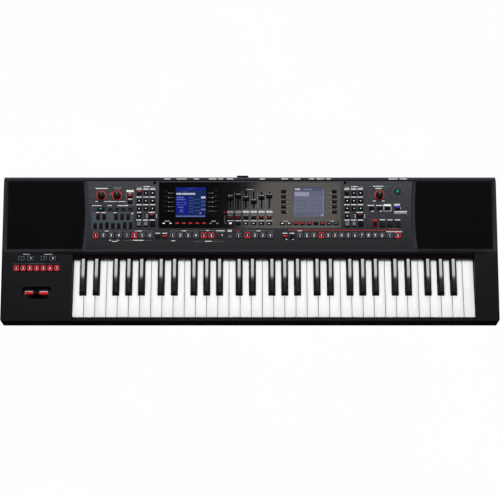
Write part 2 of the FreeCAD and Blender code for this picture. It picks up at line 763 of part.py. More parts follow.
def control_panel():
    sheet = slab(panel_face(PANEL_CLEARANCE), -PANEL_SHEET, 0)
    window = slab(overlay_face(PANEL_CLEARANCE), -FAR, FAR)
    window = joined(window, box(-OVERLAY_HALF, OVERLAY_HALF, OVERLAY_V0, OVERLAY_V1 + PANEL_CLEARANCE, -FAR, FAR))
    end, front, back = POST_INSET
    posts = []
    for u in (end - PANEL_HALF, PANEL_HALF - end):
        for v in (PANEL_V0 + front, PANEL_V1 - back):
            posts.append(block(u, v, (POST, POST), BOARD_W, -PANEL_SHEET / 2))
    cuts = [window] + button_holes(PANEL_BUTTONS, -FAR)
    for u, v in KNOB_PLACES.values():
        cuts.append(drum(HOLE_FACETS, SHAFT_RADIUS + SHAFT_HOLE, u, v, -FAR, FAR))
    cuts.append(drum(POWER_FACETS, POWER_RADIUS + BUTTON_CLEARANCE, POWER_U, POWER_V, -FAR, FAR))
    for side in (-1, 1):
        cuts.append(drum(HOLE_FACETS, REST_BORE + REST_MOUTH, side * REST_U, REST_V, -FAR, FAR))
    return laid(joined(sheet, *posts).cut(cuts))


def display_overlay():
    sheet = slab(overlay_face(0), -PANEL_SHEET, 0)
    flange = slab(overlay_face(OVERLAY_LAP), OVERLAY_W, -PANEL_SHEET)
    cuts = button_holes(OVERLAY_BUTTONS, -FAR)
    for u, v in LCD_PLACES:
        cuts.append(block(u, v, (LCD_SIZE, LCD_SIZE), -FAR, FAR))
    slot = (SLIDER_STEM[0] + 2 * SLIDER_SLOT_CLEARANCE, SLIDER_TRAVEL + SLIDER_STEM[1] + 2 * SLIDER_SLOT_CLEARANCE)
    for u in slider_places():
        cuts.append(block(u, SLIDER_V, slot, -FAR, FAR))
    return laid(joined(sheet, flange).cut(cuts))


def lcd_modules():
    """Each display: a glass that fills its window, on a wider frame behind the overlay."""
    modules = []
    glass = LCD_SIZE - 2 * LCD_CLEARANCE
    for u, v in LCD_PLACES:
        face = block(u, v, (glass, glass), OVERLAY_W, -LCD_SINK)
        frame = block(u, v, (LCD_FRAME, LCD_FRAME), -LCD_DEPTH, OVERLAY_W)
        modules.append(joined(face, frame))
    return Part.makeCompound(laid_all(modules))


def slider_pot_size():
    return (SLIDER_POT_WIDTH, SLIDER_TRAVEL + SLIDER_STEM[1] + 2 * SLIDER_POT_END)


def potentiometers():
    """Three rotary ones under the panel and six slide ones under the overlay."""
    pots = []
    for u, v in KNOB_PLACES.values():
        body = block(u, v, (POT_SIZE, POT_SIZE), -PANEL_SHEET - POT_DEPTH, -PANEL_SHEET)
        pots.append(body.cut(drum(HOLE_FACETS, SHAFT_RADIUS + SHAFT_CLEARANCE, u, v, -PANEL_SHEET - SHAFT_REACH, FAR)))
    groove = grown((SLIDER_STEM[0], SLIDER_TRAVEL + SLIDER_STEM[1]), SLIDER_SLOT_CLEARANCE)
    for u in slider_places():
        body = block(u, SLIDER_V, slider_pot_size(), OVERLAY_W - SLIDER_POT_DEPTH, OVERLAY_W)
        depth = SLIDER_REACH + SLIDER_SLOT_CLEARANCE
        pots.append(body.cut(block(u, SLIDER_V, groove, OVERLAY_W - depth, FAR)))
    return Part.makeCompound(laid_all(pots))


def cheek_post_places():
    pads = CHEEK_BUTTONS["lit_pads"]
    return [pads[0][0] - pads[0][2][0] / 2, pads[-1][0] + pads[-1][2][0] / 2]


def main_board():
    """The board that carries the rear sockets."""
    return box(*MAIN_BOARD_X, MAIN_BOARD_Y, MAIN_BOARD_REAR, MAIN_BOARD_Z, MAIN_BOARD_Z + BOARD)


def circuit_boards():
    """The board under the panel's buttons, a small one under those of the left end block, and the main board."""
    half = PANEL_HALF - BOARD_MARGIN
    board = box(-half, half, PANEL_V0 + BOARD_MARGIN, PANEL_V1 - BOARD_MARGIN, BOARD_W - BOARD, BOARD_W)
    cuts = []
    for u, v in LCD_PLACES:
        cuts.append(block(u, v, grown((LCD_FRAME, LCD_FRAME), CUTOUT_CLEARANCE), -FAR, FAR))
    for side in (-1, 1):
        cuts.append(drum(HOLE_FACETS, REST_BORE + REST_WALL + CUTOUT_CLEARANCE, side * REST_U, REST_V, -FAR, FAR))
    for u, v in KNOB_PLACES.values():
        cuts.append(block(u, v, grown((POT_SIZE, POT_SIZE), CUTOUT_CLEARANCE), -FAR, FAR))
    for u in slider_places():
        cuts.append(block(u, SLIDER_V, grown(slider_pot_size(), CUTOUT_CLEARANCE), -FAR, FAR))
    pad_v, pad_size = CHEEK_BUTTONS["lit_pads"][0][1:]
    cheek_v, cheek_size = CHEEK_BUTTONS["cheek_buttons"][0][1:]
    low = pad_v - pad_size[1] / 2 - CHEEK_MARGIN
    high = cheek_v + cheek_size[1] / 2 + CHEEK_MARGIN
    ends = cheek_post_places()
    small = box(ends[0] - CHEEK_MARGIN, ends[1] + CHEEK_MARGIN, low, high, CHEEK_BOARD_W - BOARD, CHEEK_BOARD_W)
    return Part.makeCompound(laid_all([board.cut(cuts), small]) + [main_board()])


# Loudspeakers

def speaker_grilles():
    sheets = []
    for side in (-1, 1):
        face = grille_face(side, GRILLE_CLEARANCE)
        sheets.append(slab(face, -GRILLE_RECESS, GRILLE_SHEET - GRILLE_RECESS))
    return Part.makeCompound(laid_all(sheets))


def speaker_drivers():
    """A magnet and a pressed basket under the top at each end."""
    top = -TOP_WALL
    flange = top - FRAME_FLANGE
    back = top - FRAME_DEPTH
    inner = CONE_RADIUS + CONE_CLEARANCE
    drivers = []
    for u in (-SPEAKER_U, SPEAKER_U):
        place = (u, SPEAKER_V)
        magnet = drum(SPEAKER_FACETS, MAGNET_RADIUS, *place, back - MAGNET_DEPTH, back)
        basket = frustum(SPEAKER_FACETS, (MAGNET_RADIUS, back), (FRAME_RADIUS, flange), *place)
        rim = drum(SPEAKER_FACETS, FRAME_RADIUS, *place, flange, top)
        room = frustum(SPEAKER_FACETS, (MAGNET_RADIUS - FRAME_SHEET, back + FRAME_SHEET), (inner, flange), *place)
        mouth_room = drum(SPEAKER_FACETS, inner, *place, flange, top)
        drivers.append(joined(magnet, basket, rim).cut([room, mouth_room]))
    return Part.makeCompound(laid_all(drivers))


def speaker_cones():
    """Paper cones with a flat dust cap, each held by its rim in its basket."""
    top = -TOP_WALL
    neck = top - CONE_DEPTH
    sheet = Vector(0, 0, CONE_SHEET)
    cones = []
    for u in (-SPEAKER_U, SPEAKER_U):
        hollow = frustum(SPEAKER_FACETS, (DUST_CAP_RADIUS, neck), (CONE_RADIUS, top), u, SPEAKER_V)
        body = hollow.copy()
        body.translate(-sheet)
        rim = drum(SPEAKER_FACETS, CONE_RADIUS, u, SPEAKER_V, top - CONE_SHEET, top)
        cones.append(joined(body, rim).cut(hollow))
    return Part.makeCompound(laid_all(cones))


# Keys and key bed

def black_centre(name, octave_left):
    edge, offset = BLACK_KEYS[name]
    return octave_left + edge * KEY_PITCH - KEY_GAP / 2 + offset * ACROSS


def notch(left, right):
    """The open notch in the end of a key, which sits on the round edge of the pivot beam."""
    half = PIVOT_RADIUS + PIVOT_CLEARANCE
    return box(left, right, PIVOT_Y - half, PIVOT_Y + half, KEY_BOTTOM_Z - half, KEY_BOTTOM_Z + half)


def white_key(index, has_right_neighbour):
    """A hollow white key of the lowest octave: a wide head, and a tail cut back for the black keys."""
    left = KEY_LEFT + index * KEY_PITCH
    right = left + KEY_PITCH - KEY_GAP
    tail_left = left
    tail_right = right
    for name, (edge, offset) in BLACK_KEYS.items():
        reach = BLACK_BASE / 2 + NOTCH_CLEARANCE
        if edge == index:
            tail_left = black_centre(name, KEY_LEFT) + reach
        if edge == index + 1 and has_right_neighbour:
            tail_right = black_centre(name, KEY_LEFT) - reach
    front = KEY_FRONT_Y
    head_end = front + HEAD_LENGTH
    skin = KEY_SKIN
    ceiling = KEY_TOP_Z - KEY_TOP_SKIN
    body = joined(box(left, right, front, head_end, KEY_BOTTOM_Z, KEY_TOP_Z),
                  box(tail_left, tail_right, front, KEY_REAR_Y, KEY_BOTTOM_Z, KEY_TOP_Z),
                  box(left, right, front, front + skin, KEY_BOTTOM_Z - KEY_LIP, KEY_TOP_Z))
    body = body.makeChamfer(KEY_EDGE, edges_where(body, lambda p: near(p.y, front) and near(p.z, KEY_TOP_Z)))
    room = joined(box(left + skin, right - skin, front + skin, head_end - skin, 0, ceiling),
                  box(tail_left + skin, tail_right - skin, front + skin, KEY_REAR_Y - PIVOT_BLOCK, 0, ceiling))
    return body.cut([room, notch(left, right)])


def black_key(name):
    """A black key of the lowest octave: a tapered top that leans back at the front, on a plain tail."""
    centre = black_centre(name, KEY_LEFT)
    foot = KEY_FRONT_Y + BLACK_SETBACK
    rear = LIP_Y + BLACK_UNDER_LIP
    crown = KEY_TOP_Z + BLACK_RISE
    base = BLACK_BASE / 2
    top = BLACK_TOP / 2
    section = [Vector(centre - base, foot, KEY_BOTTOM_Z), Vector(centre + base, foot, KEY_BOTTOM_Z),
               Vector(centre + base, foot, KEY_TOP_Z), Vector(centre + top, foot, crown),
               Vector(centre - top, foot, crown), Vector(centre - base, foot, KEY_TOP_Z)]
    cap = outline(section).extrude(Vector(0, rear - foot, 0))
    nose = side_prism([(foot, KEY_TOP_Z), (foot + BLACK_NOSE, crown), (foot, crown)], centre - base, centre + base)
    tail = BLACK_TAIL / 2
    skin = KEY_SKIN
    body = joined(cap.cut(nose), box(centre - tail, centre + tail, foot, KEY_REAR_Y, KEY_BOTTOM_Z, KEY_TOP_Z))
    room_front = foot + BLACK_NOSE + skin
    room_rear = KEY_REAR_Y - PIVOT_BLOCK
    ceiling = KEY_TOP_Z - KEY_TOP_SKIN
    inside = [(room_front, 0), (room_front, crown - KEY_TOP_SKIN), (rear - skin, crown - KEY_TOP_SKIN),
              (rear - skin, ceiling), (room_rear, ceiling), (room_rear, 0)]
    room = side_prism(inside, centre - tail + skin, centre + tail - skin)
    return body.cut([room, notch(centre - tail, centre + tail)])


def octave_set(key, count):
    """The same key in each octave."""
    keys = []
    for octave in range(count):
        copy = key.copy()
        copy.translate(Vector(octave * len(WHITE_KEYS) * KEY_PITCH, 0, 0))
        keys.append(copy)
    return keys


def key_nodes():
    """The keys of each note, over all octaves; one more low key closes the row at the top."""
    nodes = {}
    for index, name in enumerate(WHITE_KEYS):
        keys = octave_set(white_key(index, True), OCTAVES)
        if index == 0:
            last = white_key(0, False)
            last.translate(Vector(OCTAVES * len(WHITE_KEYS) * KEY_PITCH, 0, 0))
            keys.append(last)
        nodes["keys_" + name] = Part.makeCompound(keys)
    for name in BLACK_KEYS:
        nodes["keys_" + name] = Part.makeCompound(octave_set(black_key(name), OCTAVES))
    return nodes


def pressed_z(y):
    """Underside of a key at y when it is fully down."""
    return KEY_BOTTOM_Z - KEY_DIP * (PIVOT_Y - y) / (PIVOT_Y - KEY_FRONT_Y)


def stop_z(y):
    """Top of the rail that carries the stop felt starting at y."""
    return pressed_z(y) - FELT_CLEARANCE - FELT


def keybed_chassis():
    """One long section: base plate, two stop rails, two ribs for the contact board and the pivot beam."""
    base = CHASSIS_TOP_Z
    profile = [(CHASSIS_FRONT_Y, CHASSIS_Z), (CHASSIS_FRONT_Y, base)]
    contact_end = CONTACT_Y + CONTACT_DEPTH
    for y, width, height in ((WHITE_STOP_Y, STOP_RAIL, stop_z(WHITE_STOP_Y)),
                             (BLACK_STOP_Y, STOP_RAIL, stop_z(BLACK_STOP_Y)),
                             (CONTACT_Y, CONTACT_RIB, CONTACT_Z),
                             (contact_end - CONTACT_RIB, CONTACT_RIB, CONTACT_Z),
                             (PIVOT_Y - PIVOT_BEAM / 2, PIVOT_BEAM, KEY_BOTTOM_Z - PIVOT_BEAM_DROP)):
        profile += [(y, base), (y, height), (y + width, height), (y + width, base)]
    profile[-1] = (CHASSIS_REAR_Y, CHASSIS_Z)
    x0 = WELL_X0 + CHASSIS_SIDE_GAP
    x1 = WELL_X1 - CHASSIS_SIDE_GAP
    ridge = rod(PIVOT_RADIUS, Vector(x0, PIVOT_Y, KEY_BOTTOM_Z), Vector(1, 0, 0), x1 - x0)
    return joined(side_prism(profile, x0, x1), ridge)


def key_felts():
    """Two stop felts on the chassis, and the strip glued under the lip behind the keys."""
    felts = []
    for y in (WHITE_STOP_Y, BLACK_STOP_Y):
        felts.append(box(KEY_LEFT, KEY_RIGHT, y, y + STOP_RAIL, stop_z(y), stop_z(y) + FELT))
    front = LIP_Y - STRIP_REACH
    back = LIP_Y + LIP_BACK
    strip = [(front, strip_z(front)), (back, strip_z(back)), (back, strip_z(back) - STRIP_THICKNESS),
             (front, strip_z(front) - STRIP_THICKNESS)]
    felts.append(side_prism(strip, WELL_X0, WELL_X1))
    return Part.makeCompound(felts)


def contact_board():
    """The board on its two ribs, with the rubber strip whose domes the keys press."""
    end = CONTACT_Y + CONTACT_DEPTH
    board = box(KEY_LEFT, KEY_RIGHT, CONTACT_Y, end, CONTACT_Z, CONTACT_Z + BOARD)
    middle = (CONTACT_Y + end) / 2
    base = CONTACT_Z + BOARD
    crown = base + RUBBER_HEIGHT
    half = RUBBER_WIDTH / 2
    section = [(middle - half, base), (middle + half, base), (middle + half, base + RUBBER_FOOT),
               (middle + half / 2, crown), (middle - half / 2, crown), (middle - half, base + RUBBER_FOOT)]
    return Part.makeCompound([board, side_prism(section, KEY_LEFT, KEY_RIGHT)])


def key_centres():
    """Middle of the tail of every key, left to right in each octave."""
    centres = []
    for octave in range(OCTAVES + 1):
        left = KEY_LEFT + octave * len(WHITE_KEYS) * KEY_PITCH
        if octave < OCTAVES:
            centres += [black_centre(name, left) for name in BLACK_KEYS]
        for index in range(len(WHITE_KEYS)):
            if octave < OCTAVES or index == 0:
                centres.append(left + tail_middle(index, octave < OCTAVES))
    return centres


def tail_middle(index, has_right_neighbour):
    """Middle of a white key's tail, from the left side of its octave."""
    low = index * KEY_PITCH
    high = low + KEY_PITCH - KEY_GAP
    reach = BLACK_BASE / 2 + NOTCH_CLEARANCE
    for name, (edge, offset) in BLACK_KEYS.items():
        if edge == index:
            low = black_centre(name, 0) + reach
        if edge == index + 1 and has_right_neighbour:
            high = black_centre(name, 0) - reach
    return (low + high) / 2


def key_springs():
    """A leaf spring for each key: its foot on the chassis, its tip under the key's solid end."""
    tip_y = PIVOT_Y - SPRING_REACH
    tip_z = KEY_BOTTOM_Z - SPRING_GAP
    bend = SPRING_Y + SPRING_FOOT
    sheet = SPRING_SHEET
    profile = [(SPRING_Y, CHASSIS_TOP_Z), (bend, CHASSIS_TOP_Z), (tip_y, tip_z - sheet), (tip_y - sheet, tip_z),
               (bend - sheet, CHASSIS_TOP_Z + sheet), (SPRING_Y, CHASSIS_TOP_Z + sheet)]
    half = SPRING_WIDTH / 2
    return Part.makeCompound([side_prism(profile, x - half, x + half) for x in key_centres()])


# Knobs, slides and the power button

def knob(u, v):
    """A cap with flat sides and a bevelled shoulder, on its shaft."""
    top = KNOB_LIFT + KNOB_HEIGHT
    cap = drum(KNOB_FACETS, KNOB_RADIUS, u, v, KNOB_LIFT, top)
    cap = cap.makeChamfer(KNOB_SHOULDER, edges_where(cap, lambda p: near(p.z, top)))
    shaft = upright(SHAFT_RADIUS, u, v, -PANEL_SHEET - SHAFT_REACH + SHAFT_HOLE, KNOB_LIFT)
    return laid(joined(cap, shaft))


def slider(u, rest):
    """A cap with a finger dip across it, on a flat stem."""
    v = SLIDER_V + rest * SLIDER_TRAVEL
    top = SLIDER_CAP_LIFT + SLIDER_CAP_HEIGHT
    cap = taper(u, v, SLIDER_CAP, SLIDER_CAP_LIFT, top, SLIDER_CAP_TAPER)
    dip = SLIDER_CAP[1] / 4
    across = [(v - dip, top), (v, top - dip), (v + dip, top)]
    cap = cap.cut(side_prism(across, u - SLIDER_CAP[0], u + SLIDER_CAP[0]))
    stem = block(u, v, SLIDER_STEM, OVERLAY_W - SLIDER_REACH, SLIDER_CAP_LIFT)
    return laid(joined(cap, stem))


def power_button():
    return laid(drum(POWER_FACETS, POWER_RADIUS, POWER_U, POWER_V, -BUTTON_DROP, BUTTON_RISE))


# Bend and modulation lever

def lever_housing():
    """The well let into the end block, with the pin that the yoke turns on under its floor."""
    rim = -TOP_WALL
    floor = rim - WELL_SINK
    outer = block(LEVER_U, LEVER_V, grown(WELL_SIZE, WELL_WALL), floor, rim)
    flange = block(LEVER_U, LEVER_V, grown(WELL_SIZE, WELL_RIM), rim - WELL_WALL, rim)
    room = rounded(LEVER_U, LEVER_V, WELL_SIZE, WELL_RADIUS, floor + WELL_WALL, FAR)
    back = LEVER_V + WELL_SIZE[1] / 2 + WELL_BACK
    shelf = box(LEVER_U - YOKE_RADIUS - WELL_WALL, LEVER_U + YOKE_RADIUS + WELL_WALL, LEVER_V, back, floor,
                floor + WELL_WALL)
    pin = upright(PIN_RADIUS, LEVER_U, BAR_V + BEND_ARM, PUSH_W - EYE_RADIUS, floor + WELL_WALL)
    swing = BEND_ARM * math.sin(math.radians(BEND_ANGLE)) + SLOT_MARGIN
    lean = max(EYE_RADIUS, -PUSH_W * math.sin(math.radians(PUSH_ANGLE))) + SLOT_MARGIN
    slot = block(LEVER_U, BAR_V, (LEVER_STEM[0] + 2 * swing, LEVER_STEM[1] + 2 * lean), -FAR, FAR)
    return laid(joined(joined(outer, flange).cut(room), shelf).cut(slot).fuse(pin).removeSplitter())


def lever_yoke():
    """A hub on the housing's pin, with two cheeks that carry the lever's cross pin."""
    low = PUSH_W - EYE_RADIUS
    hub_v = BAR_V + BEND_ARM
    hub = block(LEVER_U, hub_v, (2 * YOKE_RADIUS, 2 * YOKE_RADIUS), low, YOKE_W)
    inner = LEVER_STEM[0] / 2 + YOKE_SIDE_GAP
    outer = inner + YOKE_CHEEK
    gap = EYE_RADIUS + SLOT_MARGIN
    arm = box(LEVER_U - outer, LEVER_U + outer, BAR_V + gap, hub_v, low, low + YOKE_CHEEK)
    cheeks = []
    for side in (-1, 1):
        near_u = LEVER_U + side * inner
        far_u = LEVER_U + side * outer
        cheeks.append(box(min(near_u, far_u), max(near_u, far_u), BAR_V - EYE_RADIUS, BAR_V + gap + YOKE_CHEEK, low,
                          PUSH_W + PIN_RADIUS + YOKE_CHEEK / 2))
    pin = rod(PIN_RADIUS, Vector(LEVER_U - outer, BAR_V, PUSH_W), Vector(1, 0, 0), 2 * outer)
    body = joined(hub, arm, *cheeks, pin)
    return laid(body.cut(upright(PIN_RADIUS + PIN_CLEARANCE, LEVER_U, hub_v, -FAR, FAR)))


def bend_lever():
    """A hub and stem that rocks on the yoke's cross pin, with a grip at either side."""
    half_hub = LEVER_HUB / 2
    half = LEVER_LENGTH / 2
    depth = LEVER_DEPTH / 2
    edge = LEVER_CHAMFER
    section = [(BAR_V - depth, LEVER_BOTTOM), (BAR_V + depth, LEVER_BOTTOM), (BAR_V + depth, LEVER_TOP - edge),
               (BAR_V + depth - edge, LEVER_TOP), (BAR_V - depth + edge, LEVER_TOP),
               (BAR_V - depth, LEVER_TOP - edge)]
    hub = side_prism(section, LEVER_U - half_hub, LEVER_U + half_hub)
    stem = block(LEVER_U, BAR_V, LEVER_STEM, PUSH_W, LEVER_BOTTOM + edge)
    eye = rod(EYE_RADIUS, Vector(LEVER_U - LEVER_STEM[0] / 2, BAR_V, PUSH_W), Vector(1, 0, 0), LEVER_STEM[0])
    bore = rod(PIN_RADIUS + PIN_CLEARANCE, Vector(LEVER_U - FAR, BAR_V, PUSH_W), Vector(1, 0, 0), 2 * FAR)
    grips = [side_prism(section, LEVER_U - half, LEVER_U - half_hub),
             side_prism(section, LEVER_U + half_hub, LEVER_U + half)]
    return Part.makeCompound(laid_all([joined(hub, stem, eye).cut(bore)] + grips))


# Rear connectors

def socket_body(x, size, grow=0.0):
    """A connector's body, standing on the main board, with its face in the rear panel."""
    half = size[0] / 2 + grow
    base = MAIN_BOARD_Z + BOARD
    return box(x - half, x + half, JACK_FACE_Y - size[1], JACK_FACE_Y + grow * FAR, base - grow, base + size[2] + grow)


def inward(radius, x, z, depth):
    """A bore from behind, depth deep into the connectors."""
    return rod(radius, Vector(x, JACK_FACE_Y - depth, z), Vector(0, 1, 0), depth + FAR)


def mouth(x, z, size, depth):
    """A rectangular mouth from behind."""
    return box(x - size[0] / 2, x + size[0] / 2, JACK_FACE_Y - depth, FAR, z - size[1] / 2, z + size[1] / 2)


def phone_jacks():
    bodies = [socket_body(x, PHONE_BODY).cut(inward(PHONE_BORE, x, JACK_Z, PHONE_LENGTH)) for x in PHONE_X]
    return Part.makeCompound(bodies)


def data_z():
    return MAIN_BOARD_Z + BOARD + DATA_BODY[2] / 2


def data_sockets():
    bodies = [socket_body(x, DATA_BODY).cut(inward(DATA_BORE, x, data_z(), DATA_SINK)) for x in DATA_X]
    return Part.makeCompound(bodies)


def usb_kinds():
    """Each kind of USB socket: its places, its mouth and the tongue in it."""
    return ((USB_A_X, USB_A_MOUTH, USB_A_TONGUE), (USB_B_X, USB_B_MOUTH, USB_B_TONGUE))


def usb_z(size):
    return MAIN_BOARD_Z + BOARD + USB_WALL + size[1] / 2


def usb_shell(size):
    return (size[0] + 2 * USB_WALL, USB_DEPTH + USB_BACK, size[1] + 2 * USB_WALL)


def usb_sockets():
    bodies = []
    for places, size, tongue in usb_kinds():
        for x in places:
            can = socket_body(x, usb_shell(size)).cut(mouth(x, usb_z(size), size, USB_DEPTH))
            bar = box(x - tongue[0] / 2, x + tongue[0] / 2, JACK_FACE_Y - USB_DEPTH, JACK_FACE_Y - USB_WALL,
                      usb_z(size) - tongue[1] / 2, usb_z(size) + tongue[1] / 2)
            bodies.append(joined(can, bar))
    return Part.makeCompound(bodies)


def dc_z():
    return MAIN_BOARD_Z + BOARD + DC_BODY[2] / 2


def dc_inlet():
    body = socket_body(DC_X, DC_BODY).cut(inward(DC_BORE, DC_X, dc_z(), DC_DEPTH))
    pin = rod(DC_PIN, Vector(DC_X, JACK_FACE_Y - DC_DEPTH, dc_z()), Vector(0, 1, 0), DC_DEPTH - DC_PIN)
    return joined(body, pin)


def rear_panel():
    """The wall at the back, with a window for the face of each connector."""
    bodies = [(x, PHONE_BODY) for x in PHONE_X] + [(x, DATA_BODY) for x in DATA_X] + [(DC_X, DC_BODY)]
    for places, size, tongue in usb_kinds():
        bodies += [(x, usb_shell(size)) for x in places]
    return rear_gap(DEPTH).cut([socket_body(x, size, MOUTH_CLEARANCE) for x, size in bodies])


def cord_hook():
    """A small hook on the rear panel that holds the power lead."""
    wall = DEPTH
    back = wall + HOOK_SHEET
    tip = back + HOOK_SLOT
    low = HOOK_Z[0]
    profile = [(wall, low), (tip + HOOK_SHEET, low), (tip + HOOK_SHEET, HOOK_Z[1]), (tip, HOOK_Z[1]),
               (tip, low + HOOK_SHEET), (back, low + HOOK_SHEET), (back, HOOK_Z[1]), (wall, HOOK_Z[1])]
    return side_prism(profile, HOOK_X - HOOK_WIDTH / 2, HOOK_X + HOOK_WIDTH / 2)


def all_nodes():
    shell = case_shell()
    nodes = {
        "lower_case": lower_case(),
        "upper_case": upper_case(shell),
        "end_blocks": end_blocks(shell),
        "front_rail": front_rail(shell),
        "control_panel": control_panel(),
        "display_overlay": display_overlay(),
        "lcd_modules": lcd_modules(),
        "speaker_grilles": speaker_grilles(),
        "speaker_drivers": speaker_drivers(),
        "speaker_cones": speaker_cones(),
        "circuit_boards": circuit_boards(),
        "potentiometers": potentiometers(),
        "music_rest_sockets": music_rest_sockets(),
        "lever_housing": lever_housing(),
        "rear_panel": rear_panel(),
        "phone_jacks": phone_jacks(),
        "data_sockets": data_sockets(),
        "usb_sockets": usb_sockets(),
        "dc_inlet": dc_inlet(),
        "cord_hook": cord_hook(),
        "keybed_chassis": keybed_chassis(),
        "key_felts": key_felts(),
        "key_springs": key_springs(),
        "contact_board": contact_board(),
        "feet": feet(),
        "lever_yoke": lever_yoke(),
        "bend_lever": bend_lever(),
        "power_button": power_button(),
    }
    nodes.update(key_nodes())
    for name, place in KNOB_PLACES.items():
        nodes[name] = knob(*place)
    for index, u in enumerate(slider_places()):
        nodes["slider_%d" % (index + 1)] = slider(u, SLIDER_REST[index])
    for groups, foot in ((PANEL_BUTTONS, -BUTTON_DROP), (OVERLAY_BUTTONS, -BUTTON_DROP), (CHEEK_BUTTONS, CHEEK_W)):
        for name, places in groups.items():
            nodes[name] = button_set(places, foot)
    return nodes


os.makedirs("parts", exist_ok=True)
for node, shape in all_nodes().items():
    shape.translate(SHIFT)
    shape.exportStep("parts/%s.step" % node)
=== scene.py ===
import json
import math
import bmesh
import bpy
from mathutils import Euler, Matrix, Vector


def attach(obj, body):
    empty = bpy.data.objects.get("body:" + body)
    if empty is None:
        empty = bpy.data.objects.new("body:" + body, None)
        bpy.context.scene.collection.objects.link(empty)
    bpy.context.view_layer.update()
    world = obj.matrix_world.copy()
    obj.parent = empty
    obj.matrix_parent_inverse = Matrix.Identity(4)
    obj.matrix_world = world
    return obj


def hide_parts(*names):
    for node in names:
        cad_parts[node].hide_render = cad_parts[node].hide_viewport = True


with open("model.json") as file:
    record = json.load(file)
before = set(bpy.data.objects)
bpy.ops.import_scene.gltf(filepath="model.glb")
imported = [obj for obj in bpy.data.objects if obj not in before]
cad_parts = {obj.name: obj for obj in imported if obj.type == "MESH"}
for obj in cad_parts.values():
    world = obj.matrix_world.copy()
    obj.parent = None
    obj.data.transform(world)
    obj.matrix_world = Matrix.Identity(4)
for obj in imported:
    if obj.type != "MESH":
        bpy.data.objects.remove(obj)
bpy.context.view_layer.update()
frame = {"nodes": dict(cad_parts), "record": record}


# Case: the deck, two end blocks, a low front rail, the rear wall and the tub below are black ABS mouldings
# with a fine spark-eroded grain. The deck's top is painted lighter as a sheen, and the front edges of the end
# blocks carry a painted highlight. Screws from below hold the pieces together, so no fixing shows from above.

class Signal:
    """An output of a material's node tree. Arithmetic on it adds Math nodes to that tree."""

    def __init__(self, finish, socket):
        self.finish = finish
        self.socket = socket

    def math(self, operation, a, b):
        return self.finish.node("Math", {"operation": operation}, {0: a, 1: b})

    def __add__(self, other):
        return self.math("ADD", self, other)

    def __radd__(self, other):
        return self.math("ADD", other, self)

    def __mul__(self, other):
        return self.math("MULTIPLY", self, other)

    def __rmul__(self, other):
        return self.math("MULTIPLY", other, self)


class Finish:
    """A material in the making: its node tree and its surface shader."""

    def __init__(self, name, **constants):
        self.material = bpy.data.materials.new(name)
        self.material.use_nodes = True
        self.tree = self.material.node_tree
        self.shader = self.tree.nodes["Principled BSDF"]
        for socket, value in constants.items():
            self.feed(self.shader.inputs[socket.replace("_", " ")], value)

    def feed(self, socket, value):
        if isinstance(value, Signal):
            self.tree.links.new(value.socket, socket)
        else:
            socket.default_value = value

    def node(self, kind, settings, sockets, out=0):
        node = self.tree.nodes.new("ShaderNode" + kind)
        for name, value in settings.items():
            setattr(node, name, value)
        for name, value in sockets.items():
            self.feed(node.inputs[name], value)
        return Signal(self, node.outputs[out])

    def place(self):
        return self.node("TexCoord", {}, {}, "Object")

    def along(self, axis):
        return self.node("SeparateXYZ", {}, {"Vector": self.place()}, axis)

    def noise(self, scale, detail=2.0):
        return self.node("TexNoise", {}, {"Vector": self.place(), "Scale": scale, "Detail": detail}, "Fac")

    def blend(self, share, a, b):
        return self.node("Mix", {"data_type": "RGBA"}, {0: share, 6: a, 7: b}, 2)

    def ramp(self, share, low, high):
        return self.node("MapRange", {}, {"Value": share, "From Min": low, "From Max": high})

    def colour(self, value):
        self.feed(self.shader.inputs["Base Color"], value)

    def glow(self, value):
        self.feed(self.shader.inputs["Emission Color"], value)

    def rough(self, value):
        self.feed(self.shader.inputs["Roughness"], value)

    def grain(self, height, depth):
        normal = self.node("Bump", {}, {"Height": height, "Distance": depth, "Strength": 0.6})
        self.feed(self.shader.inputs["Normal"], normal)


def linear(level):
    """A screen's level, from 0 to 255, as a share of full light."""
    share = level / 255
    return share / 12.92 if level < 11 else ((share + 0.055) / 1.055) ** 2.4


def ink(red, green, blue):
    """A colour as seen on a screen, made linear."""
    return (linear(red), linear(green), linear(blue), 1)


def scaled(tone, factor):
    """A colour made darker or lighter."""
    return tuple(c * factor for c in tone[:3]) + (1,)


CLOUD_SCALE = 9.0
PIT_SCALE = 1900.0
PIT_DEPTH = 0.00006


def moulded(finish, roughness):
    """The fine pits of a spark-eroded mould, as uneven gloss and a shallow grain."""
    pits = finish.noise(PIT_SCALE, 3.0)
    finish.rough(roughness + 0.12 * pits)
    finish.grain(pits, PIT_DEPTH)
    return finish.material


def case_plastic(name, dark, light, roughness, shine=0.35):
    finish = Finish(name, Specular_IOR_Level=shine)
    finish.colour(finish.blend(finish.noise(CLOUD_SCALE), dark, light))
    return moulded(finish, roughness)


# Where the deck's painted light and shade change, in metres: at the ends of its painted highlight line, and
# from front to back
HIGHLIGHT_END = (0.350, 0.356)
LIP_SHADE = (-0.0205, -0.0125)
LIP_EDGE = (-0.0122, -0.0108)
HIGHLIGHT_EDGE = (-0.0094, -0.0086)
SEAM_EDGE = (0.1396, 0.1399)
BEVEL_EDGE = (0.1404, 0.1408)
BEVEL_SHADE_TO_SHEEN = (0.1410, 0.1492)


